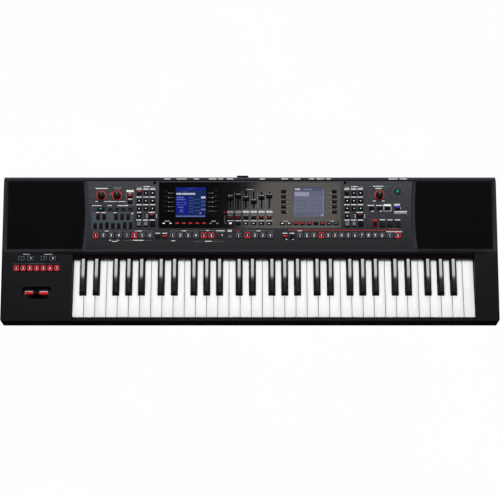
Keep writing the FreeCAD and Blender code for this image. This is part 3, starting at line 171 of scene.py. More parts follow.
def deck_plastic():
    """The deck's black, painted lighter on top as a sheen, with painted shade on the lip over the keys, a
    painted highlight line behind that, painted shade in the seam and a grey-blue painted sheen on the rear
    bevel.
    """
    finish = Finish("deck_black", Specular_IOR_Level=0.1)
    depth = finish.along("Y")
    across = finish.along("X")
    # The top is painted lighter than the other black mouldings of the same plastic: a painted sheen.
    plain = finish.blend(finish.noise(CLOUD_SCALE), ink(37, 38, 42), ink(43, 44, 48))
    # A thin painted highlight line runs along the deck's front edge between the grilles, darker past their
    # inner ends.
    highlight_to_right_end = finish.blend(finish.ramp(across, *HIGHLIGHT_END), ink(52, 55, 60), ink(34, 35, 39))
    line = finish.blend(finish.ramp(across, -HIGHLIGHT_END[1], -HIGHLIGHT_END[0]), ink(34, 35, 39), highlight_to_right_end)
    top = finish.blend(finish.ramp(depth, *HIGHLIGHT_EDGE), line, plain)
    # The lip in front of the highlight line grows darker towards the keys: painted shade.
    lip = finish.blend(finish.ramp(depth, *LIP_SHADE), ink(9, 9, 10), ink(23, 23, 26))
    with_lip = finish.blend(finish.ramp(depth, *LIP_EDGE), lip, top)
    # At the back, a dark band is painted shade in the seam and groove, and the bevel's grey-blue is a painted
    # sheen.
    bevel = finish.blend(finish.ramp(depth, *BEVEL_SHADE_TO_SHEEN), ink(9, 11, 15), ink(62, 67, 75))
    with_seam = finish.blend(finish.ramp(depth, *SEAM_EDGE), with_lip, ink(14, 14, 15))
    finish.colour(finish.blend(finish.ramp(depth, *BEVEL_EDGE), with_seam, bevel))
    return moulded(finish, 0.5)


WELD_DISTANCE = 2e-6
FLAT_ANGLE = math.radians(0.6)
EDGE_ANGLE = math.radians(40)


def dressed(node, finish, edge=0.0, steps=2, smooth=40.0):
    """A copy of a solid with its triangles joined, its sharp edges softened and its curves shaded smooth."""
    body = next(name for name, nodes in frame["record"]["behaviour"]["bodies"].items() if node in nodes)
    mesh = frame["nodes"][node].data.copy()
    work = bmesh.new()
    work.from_mesh(mesh)
    bmesh.ops.remove_doubles(work, verts=work.verts, dist=WELD_DISTANCE)
    bmesh.ops.dissolve_limit(work, angle_limit=FLAT_ANGLE, verts=work.verts, edges=work.edges)
    work.to_mesh(mesh)
    work.free()
    mesh.materials.clear()
    mesh.materials.append(finish)
    piece = bpy.data.objects.new(node + "_dressed", mesh)
    bpy.context.scene.collection.objects.link(piece)
    if edge:
        bevel = piece.modifiers.new("edge", "BEVEL")
        bevel.width = edge
        bevel.segments = steps
        bevel.limit_method = "ANGLE"
        bevel.angle_limit = EDGE_ANGLE
        bevel.use_clamp_overlap = True
        done = bpy.data.meshes.new_from_object(piece.evaluated_get(bpy.context.evaluated_depsgraph_get()))
        piece.modifiers.clear()
        piece.data = done
    piece.data.shade_smooth()
    piece.data.set_sharp_from_angle(angle=math.radians(smooth))
    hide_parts(node)
    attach(piece, body)
    return piece


case_black = case_plastic("case_black", ink(13, 13, 16), ink(16, 16, 19), 0.48, 0.1)
for case_node, case_edge in (("front_rail", 0.0012), ("lower_case", 0.0), ("rear_panel", 0.0),
                             ("cord_hook", 0.0004)):
    dressed(case_node, case_black, case_edge)
blocks = dressed("end_blocks", case_black)
# The chamfers along the end blocks' front edges get a paler black: a painted highlight.
blocks.data.materials.append(case_plastic("edge_highlight", ink(34, 34, 38), ink(40, 40, 44), 0.4, 0.2))
for face in blocks.data.polygons:
    on_front_edge = 0.2 < face.normal.z < 0.96 and face.normal.y < -0.2
    face.material_index = 1 if on_front_edge else 0
dressed("upper_case", deck_plastic())


# Control panel: a painted aluminium sheet let into the deck. The paint has a metal flake, and a painted
# reflection makes it lighter towards the back. The print on it is white, grey, slate and red screen ink.
# Names are shown as rows of dashes.

SLOPE = math.radians(7.5)
TOP_START = Vector((0.0, -0.0087, 0.07155))
TOP_ALONG = Vector((0.0, math.cos(SLOPE), math.sin(SLOPE)))
TOP_OUT = Vector((0.0, -math.sin(SLOPE), math.cos(SLOPE)))
BEVEL_SLOPE = math.atan2(6.0, 9.18)
BEVEL_START = Vector((0.0, 0.14002, 0.09113))
BEVEL_ALONG = Vector((0.0, math.cos(BEVEL_SLOPE), -math.sin(BEVEL_SLOPE)))
BEVEL_OUT = Vector((0.0, math.sin(BEVEL_SLOPE), math.cos(BEVEL_SLOPE)))
INK_LIFT = 0.06
DASHES = (2.6, 1.6, 3.2, 2.1)
DASH_GAP = 0.45
SHORTEST_DASH = 0.5
THIN = 0.5
PANEL_ENDS = (-0.0087, 0.139)


def on_top(u, v, w):
    """A point over the sloping top: u to the right, v up the slope and w out of it, in millimetres."""
    return TOP_START + Vector((u / 1000, 0, 0)) + TOP_ALONG * (v / 1000) + TOP_OUT * (w / 1000)


def on_bevel(u, v, w):
    """A point over the bevel along the back, with v down it from the top edge."""
    return BEVEL_START + Vector((u / 1000, 0, 0)) + BEVEL_ALONG * (v / 1000) + BEVEL_OUT * (w / 1000)


def crest(node):
    """How far a solid stands out of the sloping top, in millimetres."""
    return 1000 * max((p.co - TOP_START).dot(TOP_OUT) for p in frame["nodes"][node].data.vertices)


def bar(u, v, width, height):
    a = width / 2
    b = height / 2
    return [[(u - a, v - b), (u + a, v - b), (u + a, v + b), (u - a, v + b)]]


def words(u, v, width, height=1.7):
    """A printed name as a row of dashes, with no letters."""
    faces = []
    start = u - width / 2
    index = 0
    while start < u + width / 2 - SHORTEST_DASH:
        dash = min(DASHES[index % len(DASHES)], u + width / 2 - start)
        faces += bar(start + dash / 2, v, dash, height)
        start += dash + DASH_GAP
        index += 1
    return faces


def spot(u, v, radius, sides=20):
    turn = 2 * math.pi / sides
    return [[(u + radius * math.cos(i * turn), v + radius * math.sin(i * turn)) for i in range(sides)]]


def loop(u, v, radius, line, start=0.0, sweep=360.0, sides=36):
    """A ring of ink, or an arc of one."""
    faces = []
    for i in range(sides):
        a = math.radians(start + sweep * i / sides)
        b = math.radians(start + sweep * (i + 1) / sides)
        inner = radius - line / 2
        outer = radius + line / 2
        faces.append([(u + r * math.cos(t), v + r * math.sin(t)) for r, t in
                      ((inner, a), (outer, a), (outer, b), (inner, b))])
    return faces


def box_line(u, v, width, height, line):
    """A frame of thin ink lines."""
    a = width / 2
    b = height / 2
    return (bar(u, v + b, width + line, line) + bar(u, v - b, width + line, line)
            + bar(u - a, v, line, height - line) + bar(u + a, v, line, height - line))


def bracket(u0, u1, v, drop, line):
    """A line over a group of buttons, turned down at its ends."""
    ends = drop - line
    at = v - line / 2 - ends / 2
    return (bar((u0 + u1) / 2, v, u1 - u0, line) + bar(u0 + line / 2, at, line, ends)
            + bar(u1 - line / 2, at, line, ends))


def row_of(shape, places, v, *size):
    """The same shape at several places along one row."""
    return [face for u in places for face in shape(u, v, *size)]


def film(name, body, finish, outlines, w, surface=on_top):
    """Ink or a thin film on the top, on the bevel or on a cap: flat faces at the height w, as one piece."""
    points = []
    faces = []
    for outline in outlines:
        faces.append(list(range(len(points), len(points) + len(outline))))
        points += [surface(u, v, w) for u, v in outline]
    mesh = bpy.data.meshes.new(name)
    mesh.from_pydata(points, [], faces)
    mesh.materials.append(finish)
    piece = bpy.data.objects.new(name, mesh)
    bpy.context.scene.collection.objects.link(piece)
    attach(piece, body)


def panel_paint():
    finish = Finish("panel_paint", Specular_IOR_Level=0.15)
    flake = finish.noise(420.0, 4.0)
    fine = finish.noise(1400.0, 2.0)
    # Both tones of the flake grow lighter towards the back: a painted reflection.
    depth = finish.ramp(finish.along("Y"), *PANEL_ENDS)
    base = finish.blend(depth, ink(12, 13, 16), ink(37, 38, 43))
    bright = finish.blend(depth, ink(28, 29, 33), ink(69, 70, 76))
    finish.colour(finish.blend(finish.ramp(flake * 0.7 + fine * 0.3, 0.42, 0.66), base, bright))
    finish.rough(0.42 + 0.2 * fine)
    finish.grain(fine, 0.00005)
    return finish.material


def screen_ink(name, dark, light):
    """Screen ink: a matt film with a little unevenness."""
    finish = Finish(name, Specular_IOR_Level=0.1)
    wear = finish.noise(700.0)
    finish.colour(finish.blend(wear, dark, light))
    finish.rough(0.5 + 0.15 * wear)
    return finish.material


dressed("control_panel", panel_paint())
white_ink = screen_ink("white_ink", ink(222, 222, 224), ink(246, 246, 246))
pale_ink = screen_ink("pale_ink", ink(176, 174, 182), ink(196, 194, 202))
grey_ink = screen_ink("grey_ink", ink(112, 113, 116), ink(132, 133, 136))
slate_ink = screen_ink("slate_ink", ink(76, 81, 90), ink(90, 95, 104))
field_ink = screen_ink("field_ink", ink(60, 63, 71), ink(72, 75, 83))
teal_ink = screen_ink("teal_ink", ink(84, 98, 102), ink(98, 112, 116))
red_ink = screen_ink("red_ink", ink(186, 46, 36), ink(214, 58, 44))
black_print_and_seam_shade = screen_ink("black_print_and_seam_shade", ink(7, 7, 8), ink(11, 11, 12))

NUMBER_ROW = 31.5
SMALL_ROW = 28.5
KNOBS = {"volume_knob": (-315.0, 116.5), "balance_knob": (-281.5, 116.5), "mic_level_knob": (274.8, 117.5)}
RING_RADIUS = 9.3
RING_LINE = 2.0
MENU_U = 220.6
MENU_ROWS = (122.7, 106.1, 89.5)
MENU_COLUMNS = (-14.2, 0.0, 14.2)
MENU_LOW_ROW = 56.4


def spread(first, last, count):
    """Evenly spaced places from first to last."""
    step = (last - first) / max(count - 1, 1)
    return [first + i * step for i in range(count)]


rhythm_caps = [spread(-326, -277, 4), spread(-259.7, -211.8, 4), spread(-163.4, -114.3, 4), [-97.4, -81.4],
               [-23.7], spread(-5.3, 43.1, 4)]
tone_caps = [spread(105.7, 135, 3), spread(151.1, 279, 10), [295.7, 312.6]]
small_caps = [-194.6, -180, 74.4, 89]
right_caps = spread(264.5, 312.8, 4)

# Names over and under the two halves of the numbered row
labels = []
for label_u, label_v, label_width in (
        (-303.0, 41.0, 7.5), (-236.0, 41.0, 14.0), (-236.0, 20.9, 22.0), (-295.0, 20.9, 5.0),
        (-278.5, 20.9, 5.0), (-286.5, 18.6, 10.0), (-139.0, 41.2, 8.5), (-162.0, 19.9, 8.0),
        (-89.4, 42.0, 6.0), (-62.4, 41.3, 18.5), (-42.5, 42.6, 8.0), (-42.5, 40.2, 8.8),
        (-87.6, 18.8, 13.5), (18.9, 41.2, 9.0), (105.7, 41.3, 9.6), (305.7, 39.4, 34.0),
        (77.4, 22.8, 3.2), (91.6, 22.8, 3.2)):
    labels += words(label_u, label_v, label_width, 1.6)
labels += row_of(words, small_caps, SMALL_ROW + 7.6, 9.8)
brackets = []
for bracket_u0, bracket_u1, bracket_v in (
        (-333.5, -270.0, 41.0), (-266.5, -205.5, 41.0), (-169.0, -109.0, 41.2), (-103.0, -75.0, 42.0),
        (-11.5, 49.5, 41.2)):
    brackets += bracket(bracket_u0, bracket_u1, bracket_v, 1.9, 0.6)
brackets += bar(-237.0, 20.9, 60, THIN) + bar(-87.6, 18.8, 65, THIN) + bar(303.4, 46.4, 20, THIN)

# The style block
labels += words(-315.0, 132.8, 25.5, 2.0) + bar(-254.6, 127.2, 15.2, 4.3) + words(-254.6, 122.7, 6.0, 1.2)
labels += words(-254.0, 109.7, 7.8, 1.8) + spot(-249.0, 79.2, 1.4)
for label_u, label_v, label_width in (
        (-325.4, 104.5, 4.6), (-305.9, 104.5, 6.4), (-291.4, 104.5, 18.0), (-272.2, 104.5, 15.0),
        (-325.0, 95.6, 20.0), (-297.5, 95.6, 9.6), (-269.6, 95.6, 22.0), (-322.9, 80.6, 6.4),
        (-309.5, 80.6, 9.6), (-285.8, 80.6, 6.4)):
    labels += words(label_u, label_v, label_width, 1.5)
brackets += words(-281.5, 134.6, 18.0, 1.4) + words(-281.5, 131.6, 12.0, 1.4)
brackets += box_line(-254.4, 111.6, 16.4, 29.4, 0.7) + loop(-295.5, 118.0, 3.4, 0.6, 40, 160, 12)

# The menu blocks
for side in (-MENU_U, MENU_U):
    first = side + MENU_COLUMNS[0]
    for column in MENU_COLUMNS:
        labels += words(side + column, 133.3, 10.6, 1.2) + words(side + column, 130.8, 11.4, 1.7)
        for menu_row in MENU_ROWS[1:] + (MENU_LOW_ROW,):
            labels += words(side + column, menu_row + 8.0, 11.8, 1.9)
    labels += words(first, 81.0, 9.0, 1.8) + words(side + 12.5, 81.0, 13.0, 1.9)
    labels += row_of(bar, (side + 2.4, side + 22.6), 73.0, 0.9, 7.6) + words(side + 1.5, 137.0, 14.0, 1.4)
    brackets += bar(side - 13.0, 137.0, 13.0, THIN) + bar(side + 15.0, 137.0, 11.0, THIN)

# The block on the right
labels += words(273.4, 132.9, 13.0, 1.9) + words(272.8, 137.6, 22.0, 1.5) + words(263.9, 105.6, 6.0, 1.6)
labels += words(282.8, 105.6, 6.0, 1.6) + words(256.8, 96.0, 13.6, 1.9) + words(274.2, 96.0, 13.0, 1.9)
labels += bar(291.4, 96.6, 15.3, 4.3) + words(259.9, 83.6, 4.6, 1.6) + words(277.5, 83.6, 4.6, 1.6)
labels += words(320.0, 83.0, 28.0, 1.6) + words(320.0, 80.0, 26.0, 1.3)
labels += row_of(words, right_caps[1:], 64.8, 10.6, 1.9)
brackets += row_of(bar, (255.0, 290.5), 137.6, 9.0, THIN) + bar(305.6, 81.4, 0.6, 7.6)
brackets += bar(320.0, 77.4, 28.6, THIN)
film("panel_labels", "case", white_ink, labels, INK_LIFT)
film("panel_brackets", "case", grey_ink, brackets, INK_LIFT * 0.8)
film("panel_pale_print", "case", pale_ink,
     bar(312.2, 97.4, 12.4, 4.6) + box_line(291.6, 90.4, 15.6, 13.0, 1.0) + bar(319.6, 90.0, 0.9, 5.0),
     INK_LIFT * 0.9)
film("style_field", "case", field_ink,
     bar(-290.8, 63.4, 88.6, 37.0) + bar(-334.5, 88.6, 1.2, 13.0), INK_LIFT / 2)
# The black line along the back edge of the panel, over the gap there, is painted shade.
film("panel_seams", "case", black_print_and_seam_shade,
     bar(0.0, 149.2, 700.0, 1.6) + bar(58.0, 22.5, THIN, 42.0), INK_LIFT / 2)
red_lines = bar(201.0, 42.7, 239.0, 0.9) + bar(-26.0, 41.2, 11.0, 0.9) + words(264.5, 64.8, 9.6, 2.0)
red_lines += bar(-293.0, 122.6, 7.0, 1.6)
for knob_u, knob_v in KNOBS.values():
    red_lines += loop(knob_u - (0.8 if knob_u < 0 else 0.0), knob_v + 0.9, RING_RADIUS, RING_LINE)
film("panel_red_lines", "case", red_ink, red_lines, INK_LIFT)

# Names of the connectors on the bevel along the back
rear_names = []
for name_u, name_width in (
        (-175.9, 13.0), (-150.3, 12.0), (-138.7, 9.0), (-114.0, 11.4), (-79.3, 16.0), (-62.4, 10.0),
        (-41.9, 13.5), (26.6, 12.0), (74.3, 13.0), (100.3, 15.0), (131.4, 12.0), (151.0, 17.0),
        (168.0, 9.3), (305.5, 20.0), (327.0, 16.5)):
    rear_names += words(name_u, 5.6, name_width, 2.4)
film("rear_names", "case", white_ink, rear_names, INK_LIFT, on_bevel)


# Display overlay: one sheet of polished black acrylic over the middle of the panel, back-printed, with the
# two windows and the six slots cut through it.

SLIDER_PITCH = 16.5
SLIDER_U = spread(-2.5 * SLIDER_PITCH, 2.5 * SLIDER_PITCH, 6)
DISPLAY_U = 125.5
LINK_ROWS = spread(83.9, 122.7, 5)


def polished(name, tone, roughness, haze=0.03):
    finish = Finish(name, Specular_IOR_Level=0.5, Coat_Weight=1.0, Coat_Roughness=haze)
    smear = finish.noise(30.0, 3.0)
    finish.colour(finish.blend(smear, tone, scaled(tone, 1.25)))
    finish.rough(roughness + 0.05 * smear)
    return finish.material


overlay = dressed("display_overlay", polished("overlay_acrylic", ink(4, 4, 5), 0.07, 0.08))
overlay_ink = crest("display_overlay") + INK_LIFT
guide_lines = row_of(bar, [u + SLIDER_PITCH / 2 for u in SLIDER_U[:-1]], 106, THIN, 42)
guide_lines += bar(-53.2, 65.4, 0.6, 17.4) + bar(-50.5, 57.0, 4.8, 0.6)
guide_lines += row_of(bar, SLIDER_U[:2], 81.8, 13.4, 5.6) + row_of(words, SLIDER_U, 75.2, 11.5, 1.9)
slot_lines = row_of(bar, [u + edge for u in SLIDER_U for edge in (-2.9, 2.9)], 104, 0.6, 36)
film("overlay_guides", "case", grey_ink, guide_lines, overlay_ink)
film("overlay_slot_lines", "case", slate_ink, slot_lines, overlay_ink)
names = row_of(bar, SLIDER_U[2:], 82.2, 13.6, 4.9) + row_of(words, SLIDER_U, 63.0, 13.0, 1.9)
names += words(0.5, 130.6, 15.0, 1.2)
links = []
for middle in (-DISPLAY_U, DISPLAY_U):
    for row in LINK_ROWS:
        links += row_of(bar, (middle - 41.2, middle + 41.2), row, 10.8, THIN)
        names += row_of(spot, (middle - 46.8, middle + 46.8), row, 0.8, 10)
    names += words(middle - 49.6, 62.2, 10.0, 1.7) + words(middle + 49.0, 62.2, 9.0, 1.7)
film("overlay_links", "case", grey_ink, links, overlay_ink)
film("overlay_names", "case", pale_ink, names, overlay_ink)


# Displays: two square liquid crystal panels behind the overlay, lit from behind. Their pages are plain bars
# and blocks, the left one deep blue and the right one washed-out violet grey.

LEFT = -DISPLAY_U
RIGHT = DISPLAY_U
LEFT_LIGHT = 0.78
RIGHT_LIGHT = 0.8
PAGE_V = 103
PAGE_SIZE = 64
PAGE_LIFT = 0.02
PAGE_STEP = 0.03


def glowing(name, tone, strength):
    """A lit film: an even light with faint unevenness."""
    finish = Finish(name, Emission_Strength=strength, Roughness=0.35, Specular_IOR_Level=0.05)
    finish.colour(scaled(tone, 0.05))
    finish.glow(finish.blend(finish.noise(60.0), scaled(tone, 0.92), tone))
    return finish.material


dressed("lcd_modules", polished("display_frame", ink(12, 12, 14), 0.2))
screen_w = crest("lcd_modules")


def page(name, finish, faces, layer):
    film(name, "case", finish, faces, screen_w + PAGE_LIFT + PAGE_STEP * layer)


left_ground = bar(LEFT, PAGE_V, PAGE_SIZE, PAGE_SIZE)
page("left_page", glowing("left_page_ground", ink(14, 38, 96), LEFT_LIGHT), left_ground, 0)
left_blocks = bar(LEFT, 132.3, PAGE_SIZE, 5.4) + bar(LEFT - 18.3, 97.5, 26.8, 36.4)
page("left_page_blocks", glowing("left_page_blue", ink(5, 24, 138), LEFT_LIGHT), left_blocks, 1)
left_slate = []
for row in spread(112.5, 82.5, 6):
    left_slate += words(LEFT + 0.8, row, 8.4, 2.6)
for row in (104.6, 96.6):
    left_slate += bar(LEFT + 26.7, row, 9.4, 4.4)
for row in (108.9, 101.5, 92.2, 84.8):
    left_slate += words(LEFT + 13.2, row, 15.0, 2.2)
left_slate += words(LEFT, 132.4, 14.0, 1.6) + words(LEFT - 12.0, 127.3, 14.6, 1.6)
page("left_page_slate", glowing("left_page_slate", ink(56, 82, 136), LEFT_LIGHT), left_slate, 2)
left_pale = words(LEFT, 72.8, 62.0, 2.8) + bar(LEFT + 26.7, 87.5, 9.4, 3.4)
left_pale += words(LEFT - 22.5, 113.6, 14.4, 2.4) + words(LEFT - 21.0, 108.9, 18.4, 2.2)
left_pale += box_line(LEFT - 19.3, 100.2, 18.4, 5.4, 0.7) + words(LEFT - 21.0, 92.2, 11.0, 2.0)
left_pale += words(LEFT - 19.5, 86.8, 6.0, 2.2) + words(LEFT - 19.5, 82.6, 9.0, 1.6)
page("left_page_pale", glowing("left_page_pale", ink(112, 122, 196), LEFT_LIGHT), left_pale, 2)
left_white = words(LEFT - 25.1, 121.2, 10.6, 3.8) + words(LEFT - 4.4, 121.2, 27.0, 3.8)
left_white += bar(LEFT + 26.7, 113.4, 9.4, 4.2) + spot(LEFT + 20.4, 79.4, 1.3, 10)
page("left_page_white", glowing("left_page_white", ink(214, 220, 240), LEFT_LIGHT), left_white, 2)

right_ground = bar(RIGHT, PAGE_V, PAGE_SIZE, PAGE_SIZE)
page("right_page", glowing("right_page_ground", ink(104, 107, 128), RIGHT_LIGHT), right_ground, 0)
right_title = bar(RIGHT, 131.0, PAGE_SIZE, 6.8)
page("right_page_title", glowing("right_page_title", ink(86, 88, 118), RIGHT_LIGHT), right_title, 1)
right_bands = []
right_text = []
for row in spread(112.5, 84.5, 6):
    right_bands += row_of(bar, (RIGHT - 15.0, RIGHT + 15.0), row, 28, 2.8)
    right_text += row_of(words, (RIGHT - 15.0, RIGHT + 15.0), row - 0.2, 25.0, 1.5)
for column in spread(-24.6, 5.0, 4) + [20.5]:
    right_text += box_line(RIGHT + column, 76.8, 5.6, 5.2, 0.6)
page("right_page_bands", glowing("right_page_bands", ink(132, 135, 154), RIGHT_LIGHT), right_bands, 1)
page("right_page_text", glowing("right_page_text", ink(72, 75, 104), RIGHT_LIGHT), right_text, 2)
right_pale = bar(RIGHT - 15.2, 120.6, 31.0, 8.6) + bar(RIGHT + 30.9, PAGE_V, 0.9, 63)
right_pale += words(RIGHT - 2.5, 131.0, 17.0, 1.4)
page("right_page_pale", glowing("right_page_pale", ink(158, 158, 186), RIGHT_LIGHT), right_pale, 2)
right_white = words(RIGHT - 24.0, 131.2, 11.0, 3.2) + bar(RIGHT + 27.0, 74.8, 3.6, 1.8)
page("right_page_white", glowing("right_page_white", ink(216, 216, 232), RIGHT_LIGHT), right_white, 3)


# Buttons: moulded caps with a soft edge in dark grey rubber, the numbered ones slate with a printed round and
# a number. Small lamps under clear lenses sit in some of them.

CAP_EDGE = 0.0005

# How far the films on a cap lie over it, in millimetres
CAP_GLOW = 0.02
CAP_INK = 0.04
CAP_ROUND = 0.06
CAP_LENS = 0.07
CAP_NUMBER = 0.09


def cap_rubber(name, dark, light, shine=0.05):
    finish = Finish(name, Specular_IOR_Level=shine)
    grit = finish.noise(2400.0)
    finish.colour(finish.blend(finish.noise(160.0), dark, light))
    finish.rough(0.42 + 0.14 * grit)
    finish.grain(grit, 0.00003)
    return finish.material


dark_cap = cap_rubber("dark_cap", ink(8, 8, 10), ink(12, 12, 14))
slate_cap = cap_rubber("slate_cap", ink(48, 52, 59), ink(58, 62, 70))
for button_node in ("style_buttons", "left_menu_buttons", "right_menu_buttons", "right_block_buttons",
                    "left_display_buttons", "right_display_buttons", "mixer_buttons", "cheek_buttons"):
    dressed(button_node, dark_cap, CAP_EDGE)
for button_node in ("rhythm_row_buttons", "tone_row_buttons"):
    dressed(button_node, slate_cap, CAP_EDGE)

red_lamp = glowing("red_lamp", ink(214, 50, 60), 0.85)
dim_red_lamp = glowing("dim_red_lamp", ink(120, 34, 40), 0.9)
green_lamp = glowing("green_lamp", ink(34, 140, 94), 0.9)
dim_green_lamp = glowing("dim_green_lamp", ink(22, 96, 68), 0.9)
blue_lamp = glowing("blue_lamp", ink(40, 62, 206), 0.9)
white_lamp = glowing("white_lamp", ink(240, 240, 240), 0.95)


def numeral(text):
    """The outlines of a number, 1 high and centred."""
    curve = bpy.data.curves.new("numeral", "FONT")
    curve.body = text
    curve.align_x = "CENTER"
    curve.offset = 0.018
    holder = bpy.data.objects.new("numeral", curve)
    bpy.context.scene.collection.objects.link(holder)
    mesh = bpy.data.meshes.new_from_object(holder.evaluated_get(bpy.context.evaluated_depsgraph_get()))
    bpy.data.objects.remove(holder)
    low = min(p.co.y for p in mesh.vertices)
    height = max(p.co.y for p in mesh.vertices) - low
    places = [(p.co.x / height, (p.co.y - low) / height - 0.5) for p in mesh.vertices]
    shapes = [[places[i] for i in face.vertices] for face in mesh.polygons]
    bpy.data.meshes.remove(mesh)
    return shapes


numerals = {text: numeral(text) for text in "0123456789"}


def number(text, u, v, height):
    return [[(u + x * height, v + y * height) for x, y in shape] for shape in numerals[text]]


def plate(u, v, width, height, cut):
    """A plate with its corners cut off."""
    a = width / 2
    b = height / 2
    return [[(u - a + cut, v - b), (u + a - cut, v - b), (u + a, v - b + cut), (u + a, v + b - cut),
             (u + a - cut, v + b), (u - a + cut, v + b), (u - a, v + b - cut), (u - a, v - b + cut)]]


def on_cap(name, body, finish, faces, lift=CAP_INK):
    """Print, or the lens of a lamp, on the caps of one block."""
    film(name, body, finish, faces, crest(body) + lift)


def number_caps(body, groups, lit):
    """The print on a row of numbered caps; the lit ones glow red round their number."""
    rounds = []
    digits = []
    rims = []
    glow = []
    for group in groups:
        for index, u in enumerate(group):
            if u in lit:
                glow += plate(u, NUMBER_ROW, 11.4, 11.8, 2.0)
                rounds += spot(u, NUMBER_ROW + 0.6, 4.5)
            else:
                rims += loop(u, NUMBER_ROW, 5.0, 0.6)
                rounds += spot(u, NUMBER_ROW, 4.4)
            digits += number(str((index + 1) % 10), u, NUMBER_ROW, 5.6)
    on_cap(body + "_glow", body, red_lamp, glow, CAP_GLOW)
    on_cap(body + "_rims", body, grey_ink, rims)
    on_cap(body + "_rounds", body, black_print_and_seam_shade, rounds, CAP_ROUND)
    on_cap(body + "_numbers", body, white_ink, digits, CAP_NUMBER)


lit_rhythm = (rhythm_caps[0][0], rhythm_caps[1][1], *rhythm_caps[3], rhythm_caps[5][0])
lit_tone = (tone_caps[1][0], tone_caps[2][1])
number_caps("rhythm_row_buttons", rhythm_caps, lit_rhythm)
number_caps("tone_row_buttons", tone_caps, lit_tone)
on_cap("rhythm_small_caps", "rhythm_row_buttons", black_print_and_seam_shade,
       row_of(bar, small_caps[:2], SMALL_ROW, 10, 8) + bar(-61.9, NUMBER_ROW, 15, 7))
on_cap("rhythm_lamps", "rhythm_row_buttons", red_lamp,
       bar(small_caps[1], SMALL_ROW + 1.6, 7.6, 2.8) + spot(-65.4, NUMBER_ROW, 1.3, 12), CAP_LENS)
on_cap("rhythm_marks", "rhythm_row_buttons", white_lamp,
       spot(-58.6, NUMBER_ROW, 1.5, 12), CAP_LENS)
on_cap("rhythm_lines", "rhythm_row_buttons", grey_ink,
       bar(-42.5, SMALL_ROW + 2.0, 7.4, 0.7) + bar(-42.5, SMALL_ROW - 2.0, 7.4, 0.7))
on_cap("tone_small_caps", "tone_row_buttons", black_print_and_seam_shade,
       row_of(bar, small_caps[2:], SMALL_ROW, 10, 8))
on_cap("tone_lamps", "tone_row_buttons", red_lamp,
       bar(small_caps[2], SMALL_ROW + 1.6, 7.6, 2.8), CAP_LENS)

on_cap("style_green_cap", "style_buttons", green_lamp, bar(-316.6, 88.6, 6.8, 2.6))
long_row = spread(-327.5, -252.3, 7)
on_cap("style_green_lamps", "style_buttons", dim_green_lamp,
       row_of(bar, long_row[0:2] + long_row[3:5], 58.4, 6.4, 2.2))
on_cap("style_red_lamps", "style_buttons", red_lamp, bar(-254.4, 117.6, 6.2, 3.0))
on_cap("style_rims", "style_buttons", slate_ink,
       row_of(box_line, spread(-296, -254, 4), 88.0, 8.6, 6.2, 0.45))

for side, body in ((-MENU_U, "left_menu_buttons"), (MENU_U, "right_menu_buttons")):
    first = side + MENU_COLUMNS[0]
    on_cap(body + "_red_lamps", body, red_lamp if side < 0 else dim_red_lamp,
           bar(first, 126.0, 6.2, 1.8) + bar(side + 12.5, 76.0, 6.0, 2.0))
    grid = [(side + column, row) for row in MENU_ROWS for column in MENU_COLUMNS][1:] + [(first, 73.0)]
    dots = [face for u, v in grid for face in spot(u, v - 0.3, 1.25, 12)]
    on_cap(body + "_dots", body, white_ink, dots)
    on_cap(body + "_pale_caps", body, slate_ink, row_of(bar, (first, side), 56.6, 8.4, 9.0))
    on_cap(body + "_cap_marks", body, grey_ink,
           box_line(first, 56.6, 4.6, 5.2, 0.7) + bar(side, 56.6, 3.6, 5), CAP_LENS)

on_cap("right_block_blue", "right_block_buttons", blue_lamp, bar(313.2, 91.9, 8.2, 2.4))
on_cap("right_block_red", "right_block_buttons", red_ink,
       box_line(right_caps[0], 55.5, 10.2, 11.6, 0.4))
on_cap("right_block_lines", "right_block_buttons", slate_ink,
       row_of(box_line, right_caps[1:], 55.5, 6.0, 7.4, 0.35))

for middle, body, lit, lamp_columns in (
        (-DISPLAY_U, "left_display_buttons", (2, 3, 4, 5, 6), (52.0,)),
        (DISPLAY_U, "right_display_buttons", (2, 3, 4, 6), (-51.6, 53.7))):
    row = spread(middle - 56.6, middle + 56.6, 9)
    on_cap(body + "_red", body, red_lamp, row_of(bar, [row[i] for i in lit], 57.4, 6.8, 2.3))
    on_cap(body + "_white", body, white_ink, row_of(bar, row[:2], 57.0, 4.6, 2.2))
    on_cap(body + "_grey", body, grey_ink, row_of(bar, row[7:], 57.0, 4.6, 2.2))
    side_lamps = [face for u in lamp_columns for v in spread(81.8, 115.0, 4)
                  for face in bar(middle + u, v + 0.6, 2.4, 1.8)]
    on_cap(body + "_side", body, dim_red_lamp, side_lamps)

on_cap("mixer_red", "mixer_buttons", dim_red_lamp,
       row_of(bar, SLIDER_U[:2] + SLIDER_U[4:], 70.2, 8.0, 2.3))
on_cap("mixer_lit_cap", "mixer_buttons", white_lamp, bar(SLIDER_U[0], 57.2, 5.8, 3.2))
on_cap("mixer_marks", "mixer_buttons", white_ink,
       row_of(bar, [u - 0.6 for u in SLIDER_U[2:]], 56.8, 3.6, 1.3))
film("mixer_pilot", "case", red_lamp, spot(-53.2, 81.4, 1.3, 12), overlay_ink)

